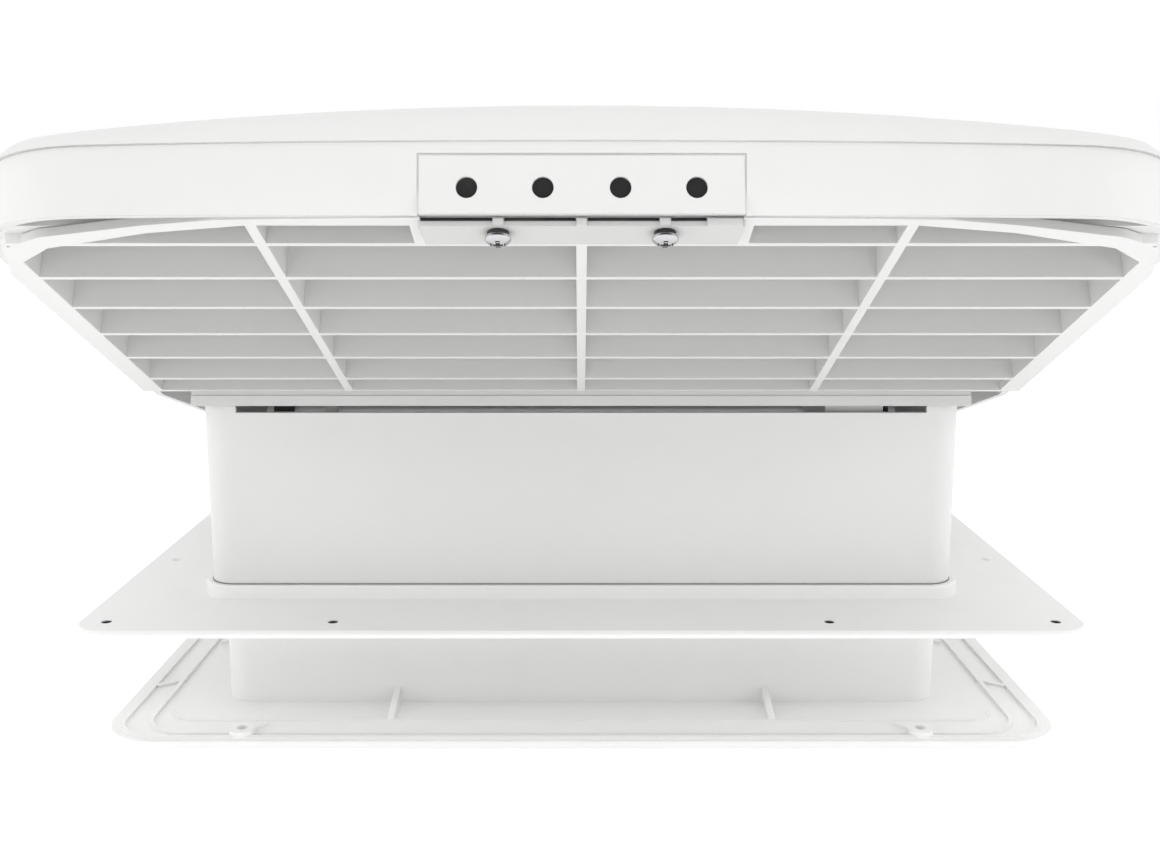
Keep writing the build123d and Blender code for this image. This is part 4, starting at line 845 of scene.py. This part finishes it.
@dataclass
class RainLid:
    """The lid with its louvre front, centre plate and screw strip."""

    hinge_y: float = 200.0
    hinge_z: float = 33.0
    open_angle: float = 12.0
    louvre_foot: tuple[float, float] = (-169.2, 16.7)
    louvre_slope: float = 13.1
    strip_thick: float = 2.0
    strip_screw_x: float = 24.8
    strip_screw_along: float = 172.6
    collar_bore: float = 1.4
    collar_radius: float = 3.3
    collar_height: float = 1.7
    slot_along: float = 177.45
    slot_edges: tuple[float, ...] = (-47.3, -26.3, -22.7, -1.8, 1.8, 22.7, 26.3, 36.6)
    shade_strip_along: float = 0.4
    shade_strip_height: float = 0.8
    plate_face_y: float = -346.0
    plate_half: float = 47.5
    plate_foot: float = 57.8
    plate_top: float = 75.0
    plate_gap: float = 0.4
    bed_room: float = 0.02
    bed_depth: float = 1.6
    web_corners: tuple[tuple[float, float], ...] = (
        (140.0, 165.5), (175.0, 165.5), (181.0, 157.0), (184.6, 147.0), (185.8, 136.9),
        (185.8, 118.0), (179.5, 118.0), (179.5, 145.0), (166.5, 157.5), (140.0, 165.4),
    )
    web_out: float = -3.3
    web_thick: float = -4.4

    def opened(self) -> Matrix:
        """Gives the turn from the closed lid to the open one.

        Returns:
            The transform.
        """
        centre = metres((0.0, self.hinge_y, self.hinge_z))
        turn = Matrix.Rotation(math.radians(-self.open_angle), 4, "X")
        return Matrix.Translation(centre) @ turn @ Matrix.Translation(-centre)

    def louvre_place(self, x: float, along: float, out: float) -> Matrix:
        """Gives the transform of a piece that stands on the open lid's louvre.

        Args:
            x: Its place across, in millimetres.
            along: Its place up the louvre, in millimetres.
            out: Its height above the louvre's face, in millimetres.

        Returns:
            The transform of a piece made looking up.
        """
        slope = math.radians(self.louvre_slope)
        outward = Vector((0.0, -math.sin(slope), -math.cos(slope)))
        upward = Vector((0.0, -math.cos(slope), math.sin(slope)))
        sideways = Vector((1.0, 0.0, 0.0))
        turn = Matrix((sideways, upward, outward)).transposed().to_4x4()
        shift = (sideways * x + upward * along + outward * out) * MM
        origin = metres((0.0, *self.louvre_foot)) + shift
        return self.opened() @ Matrix.Translation(origin) @ turn

    def build(self, finishes: Finishes) -> None:
        """Dresses the lid and adds its bright screws, dark strips of painted shade in its slots and
        screw recesses, joint bed and webs.

        Args:
            finishes: All the finishes.
        """
        dress(("lid_cover", "rain_shield", "access_plate"), finishes["lid"])
        dress(("louvre_panel",), finishes["louvre"])
        dress(("screw_strip",), finishes["strip"])
        dress(("lid_hinge_left", "lid_hinge_right"), finishes["lid"])
        dress(("lift_track_left", "lift_track_right"), finishes["inner"])
        dress(("plate_plugs",), finishes["rubber"])
        self.strip_screws(finishes)
        self.slot_shade_strips(finishes)
        self.plate_bed(finishes)
        self.corner_webs(finishes)

    def strip_screws(self, finishes: Finishes) -> None:
        """Adds the two bright screws of the strip, with a dark cross of painted shade deep in each
        recess and black collars.

        Args:
            finishes: All the finishes.
        """
        screw = CrossScrew(
            head_radius=4.0, head_height=2.6, length=10.0,
            recess_width=1.5, recess_reach=2.7, crown=1.0,
        )
        bore, height = self.collar_bore, self.collar_height
        collar = [
            (bore, 0.0), (self.collar_radius, 0.0), (self.collar_radius, height),
            (bore, height), (bore, 0.0),
        ]
        feet = [
            self.louvre_place(x, self.strip_screw_along, self.strip_thick)
            for x in (-self.strip_screw_x, self.strip_screw_x)
        ]
        places = [foot @ Matrix.Translation(metres((0.0, 0.0, height))) for foot in feet]
        mesh = gathered(screw.at(place) for place in places)
        plain = ["strip_screws"]
        shown("strip_cross_screws", mesh, finishes["chrome"], "lid", True, plain)
        recess_shade = gathered(moved(screw.recess_shade(), place) for place in places)
        # Dark cross that paints shade in each screw recess.
        shown("strip_screw_recess_shade", recess_shade, finishes["black"], "lid", False, ())
        collars = gathered(moved(spun(collar, ROUND_STEPS), foot) for foot in feet)
        shown("strip_screw_collars", collars, finishes["black"], "lid", True, ())

    def slot_shade_strips(self, finishes: Finishes) -> None:
        """Adds dark strips in the slots between the strip's tabs as painted shade, standing for the
        shadow in the slots.

        Args:
            finishes: All the finishes.
        """
        shade_strips = []
        for low, high in zip(self.slot_edges[::2], self.slot_edges[1::2]):
            size = (high - low, self.shade_strip_along, self.shade_strip_height)
            shade_strip = block(size, ((low + high) / 2, 0.0, 0.0))
            shade_strips.append(moved(shade_strip, self.louvre_place(0.0, self.slot_along, 0.0)))
        # Black strips that paint the shadow in the slots behind the plate.
        shown("plate_slot_shade", gathered(shade_strips), finishes["rubber"], "lid", False, ())

    def plate_bed(self, finishes: Finishes) -> None:
        """Adds the bed that shows in the joint round the centre plate.

        Args:
            finishes: All the finishes.
        """
        width, depth = self.plate_gap - self.bed_room, self.bed_depth
        middle_y = self.plate_face_y + depth / 2
        height = self.plate_top - self.plate_foot
        side = self.plate_half + self.plate_gap / 2
        middle_z = self.plate_foot + height / 2
        bars = [block((width, depth, height), (x, middle_y, middle_z)) for x in (-side, side)]
        top_width = 2 * (self.plate_half + self.plate_gap)
        top_z = self.plate_top + self.plate_gap / 2
        bars.append(block((top_width, depth, width), (0.0, middle_y, top_z)))
        mesh = moved(gathered(bars), self.opened())
        shown("plate_bed", mesh, finishes["lid"], "lid", False, ())

    def corner_webs(self, finishes: Finishes) -> None:
        """Adds the thin webs that close the lid's corners beside the louvre's frame.

        Args:
            finishes: All the finishes.
        """
        webs = []
        for side in (-1, 1):
            web = bmesh.new()
            corners = [
                web.verts.new(metres((side * x, along, self.web_out)))
                for x, along in self.web_corners
            ]
            face = web.faces.new(corners)
            made = bmesh.ops.extrude_face_region(web, geom=[face])
            raised = [item for item in made["geom"] if isinstance(item, bmesh.types.BMVert)]
            bmesh.ops.translate(web, vec=metres((0.0, 0.0, self.web_thick)), verts=raised)
            bmesh.ops.recalc_face_normals(web, faces=web.faces)
            webs.append(moved(web, self.louvre_place(0.0, 0.0, 0.0)))
        shown("lid_corner_webs", gathered(webs), finishes["lid"], "lid", False, ())


@dataclass
class FanUnit:
    """Fan, shaft and clip."""

    def build(self, finishes: Finishes) -> None:
        """Dresses the fan.

        Args:
            finishes: All the finishes.
        """
        dress(("fan_rotor",), finishes["fan"])
        dress(("fan_shaft", "fan_clip"), finishes["steel"])


@dataclass
class LiftGear:
    """Cross shaft, arms, sector and the crank that turns them."""

    def build(self, finishes: Finishes) -> None:
        """Dresses the lift gear.

        Args:
            finishes: All the finishes.
        """
        dress(("cross_shaft", "crank_shaft"), finishes["steel"])
        dress(("lift_arm_left", "lift_arm_right"), finishes["black"])
        dress(("arm_glides", "sector_gear"), finishes["inner"])


@dataclass
class CeilingFrame:
    """Ceiling trim with its neck."""

    def build(self, finishes: Finishes) -> None:
        """Dresses the ceiling trim.

        Args:
            finishes: All the finishes.
        """
        dress(("ceiling_trim",), finishes["trim"])


@dataclass
class ControlTray:
    """Console with the dial, rocker, fuse, board and crank knob."""

    def build(self, finishes: Finishes) -> None:
        """Dresses the controls.

        Args:
            finishes: All the finishes.
        """
        dress(("control_console", "speed_dial", "crank_knob"), finishes["trim"])
        dress(("speed_switch", "rocker_frame", "rocker_key", "fuse_holder"), finishes["black"])
        dress(("control_board",), finishes["board"])


@dataclass
class InsectScreen:
    """Screen frame, its quarter-turn knobs and the fine net."""

    wire: float = 0.4
    pitch: float = 2.4

    def build(self, finishes: Finishes) -> None:
        """Dresses the screen and adds the fine net.

        Args:
            finishes: All the finishes.
        """
        knobs = [f"screen_knob_{number}" for number in range(1, 5)]
        dress(("screen_frame", *knobs), finishes["trim"])
        self.net(finishes)

    def net(self, finishes: Finishes) -> None:
        """Adds the fine net in place of the coarse one.

        Args:
            finishes: All the finishes.
        """
        low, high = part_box("insect_screen")
        wires = []
        middle = (low + high) / 2 / MM
        size = (high - low) / MM
        across = round(size.x / self.pitch)
        along = round(size.y / self.pitch)
        for index in range(across + 1):
            x = middle.x + (index / across - 0.5) * (size.x - self.wire)
            centre = (x, middle.y, middle.z - self.wire / 3)
            wires.append(block((self.wire, size.y, self.wire), centre))
        for index in range(along + 1):
            y = middle.y + (index / along - 0.5) * (size.y - self.wire)
            centre = (middle.x, y, middle.z + self.wire / 3)
            wires.append(block((size.x, self.wire, self.wire), centre))
        mesh, grey = gathered(wires), finishes["net"]
        shown("fine_net", mesh, grey, "housing", False, ["insect_screen"])


@dataclass(frozen=True)
class SoftLight:
    """One soft area light, with its places in metres, its side and its power in watts."""

    name: str
    place: Point
    target: Point = (0.0, -0.1, 0.0)
    size: float = 0.9
    power: float = 7.5

    def build(self) -> None:
        """Adds the light, which shines but isn't seen in glossy faces."""
        data = bpy.data.lights.new(self.name, "AREA")
        data.shape = "SQUARE"
        data.size = self.size
        data.energy = self.power
        lamp = bpy.data.objects.new(self.name, data)
        lamp.location = self.place
        aim = Vector(self.target) - Vector(self.place)
        lamp.rotation_euler = aim.to_track_quat("-Z", "Y").to_euler()
        lamp.visible_glossy = False
        bpy.context.scene.collection.objects.link(lamp)


@dataclass
class Studio:
    """Pale floor, soft light and the camera at the photo's angle."""

    floor_z: float = -50.9
    eye: Point = (-0.5, -703.8, 172.8)
    pitch_down: float = 9.85
    lens: float = 39.5
    sensor_width: float = 36.0
    near_clip: float = 10.0
    world_strength: float = 1.0
    front_tone: float = 0.1
    front_turn: tuple[float, float] = (-0.2, -0.7)
    front_rise: tuple[float, float] = (0.04, 0.3)
    floor_reach: float = 6.0
    floor_tone: float = 0.95
    floor_roughness: float = 0.7
    floor_glow: float = 0.3
    lights: tuple[SoftLight, ...] = (
        SoftLight("key_light", (0.0, -1.75, 1.35), power=9.5),
        SoftLight("left_light", (-1.6, -0.95, 0.75)),
        SoftLight("right_light", (1.6, -0.95, 0.75)),
    )

    def floor(self) -> None:
        """Adds the floor."""
        mesh = bmesh.new()
        bmesh.ops.create_grid(mesh, x_segments=1, y_segments=1, size=self.floor_reach)
        bmesh.ops.translate(mesh, vec=(0.0, 0.0, self.floor_z * MM), verts=mesh.verts)
        data = bpy.data.meshes.new("studio_floor")
        mesh.to_mesh(data)
        mesh.free()
        material = bpy.data.materials.new("pale_floor")
        material.use_nodes = True
        surface = material.node_tree.nodes["Principled BSDF"]
        tone = self.floor_tone
        surface.inputs["Base Color"].default_value = (tone, tone, tone, 1.0)
        surface.inputs["Roughness"].default_value = self.floor_roughness
        surface.inputs["Emission Color"].default_value = (1.0, 1.0, 1.0, 1.0)
        surface.inputs["Emission Strength"].default_value = self.floor_glow
        data.materials.append(material)
        ground = bpy.data.objects.new("studio_floor", data)
        bpy.context.scene.collection.objects.link(ground)

    def camera(self) -> None:
        """Adds the camera where the photo was taken from."""
        data = bpy.data.cameras.new("photo_camera")
        data.lens = self.lens
        data.sensor_width = self.sensor_width
        data.clip_start = self.near_clip * MM
        eye = bpy.data.objects.new("photo_camera", data)
        eye.location = metres(self.eye)
        eye.rotation_euler = (math.radians(90.0 - self.pitch_down), 0.0, 0.0)
        bpy.context.scene.collection.objects.link(eye)
        bpy.context.scene.camera = eye

    def sky_tone(self, sheet: NodeSheet, color: bpy.types.NodeSocket) -> None:
        """Makes the room white all round, with a darker part high in front.

        Args:
            sheet: The world's nodes.
            color: The socket that takes the tone.
        """
        place = sheet.add("ShaderNodeTexCoord")
        parts = sheet.add("ShaderNodeSeparateXYZ")
        front = sheet.add("ShaderNodeMapRange")
        front.inputs["From Min"].default_value = self.front_turn[0]
        front.inputs["From Max"].default_value = self.front_turn[1]
        high = sheet.add("ShaderNodeMapRange")
        high.inputs["From Min"].default_value = self.front_rise[0]
        high.inputs["From Max"].default_value = self.front_rise[1]
        both = sheet.add("ShaderNodeMath", operation="MULTIPLY")
        mix = sheet.add("ShaderNodeMix", data_type="RGBA")
        mix.inputs[6].default_value = (1.0, 1.0, 1.0, 1.0)
        tone = self.front_tone
        mix.inputs[7].default_value = (tone, tone, tone, 1.0)
        sheet.join(place.outputs["Generated"], parts.inputs["Vector"])
        sheet.join(parts.outputs["Y"], front.inputs["Value"])
        sheet.join(parts.outputs["Z"], high.inputs["Value"])
        sheet.join(front.outputs["Result"], both.inputs[0])
        sheet.join(high.outputs["Result"], both.inputs[1])
        sheet.join(both.outputs["Value"], mix.inputs["Factor"])
        sheet.join(mix.outputs[2], color)

    def build(self) -> None:
        """Builds the studio."""
        world = bpy.data.worlds.new("soft_white")
        world.use_nodes = True
        sky = world.node_tree.nodes["Background"]
        sky.inputs["Strength"].default_value = self.world_strength
        self.sky_tone(NodeSheet(world.node_tree), sky.inputs["Color"])
        bpy.context.scene.world = world
        bpy.context.scene.view_settings.view_transform = "Standard"
        self.floor()
        for light in self.lights:
            light.build()
        self.camera()


def main() -> None:
    """Builds the looks of the vent in order."""
    logging.basicConfig(level=logging.INFO, format="%(name)s: %(message)s")
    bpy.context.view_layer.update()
    finishes = Finishes()
    parts = (
        RoofBase(), RainLid(), FanUnit(), LiftGear(),
        CeilingFrame(), ControlTray(), InsectScreen(),
    )
    for part in parts:
        part.build(finishes)
        LOG.info("built %s", type(part).__name__)
    Studio().build()


if __name__ == "__main__":
    main()
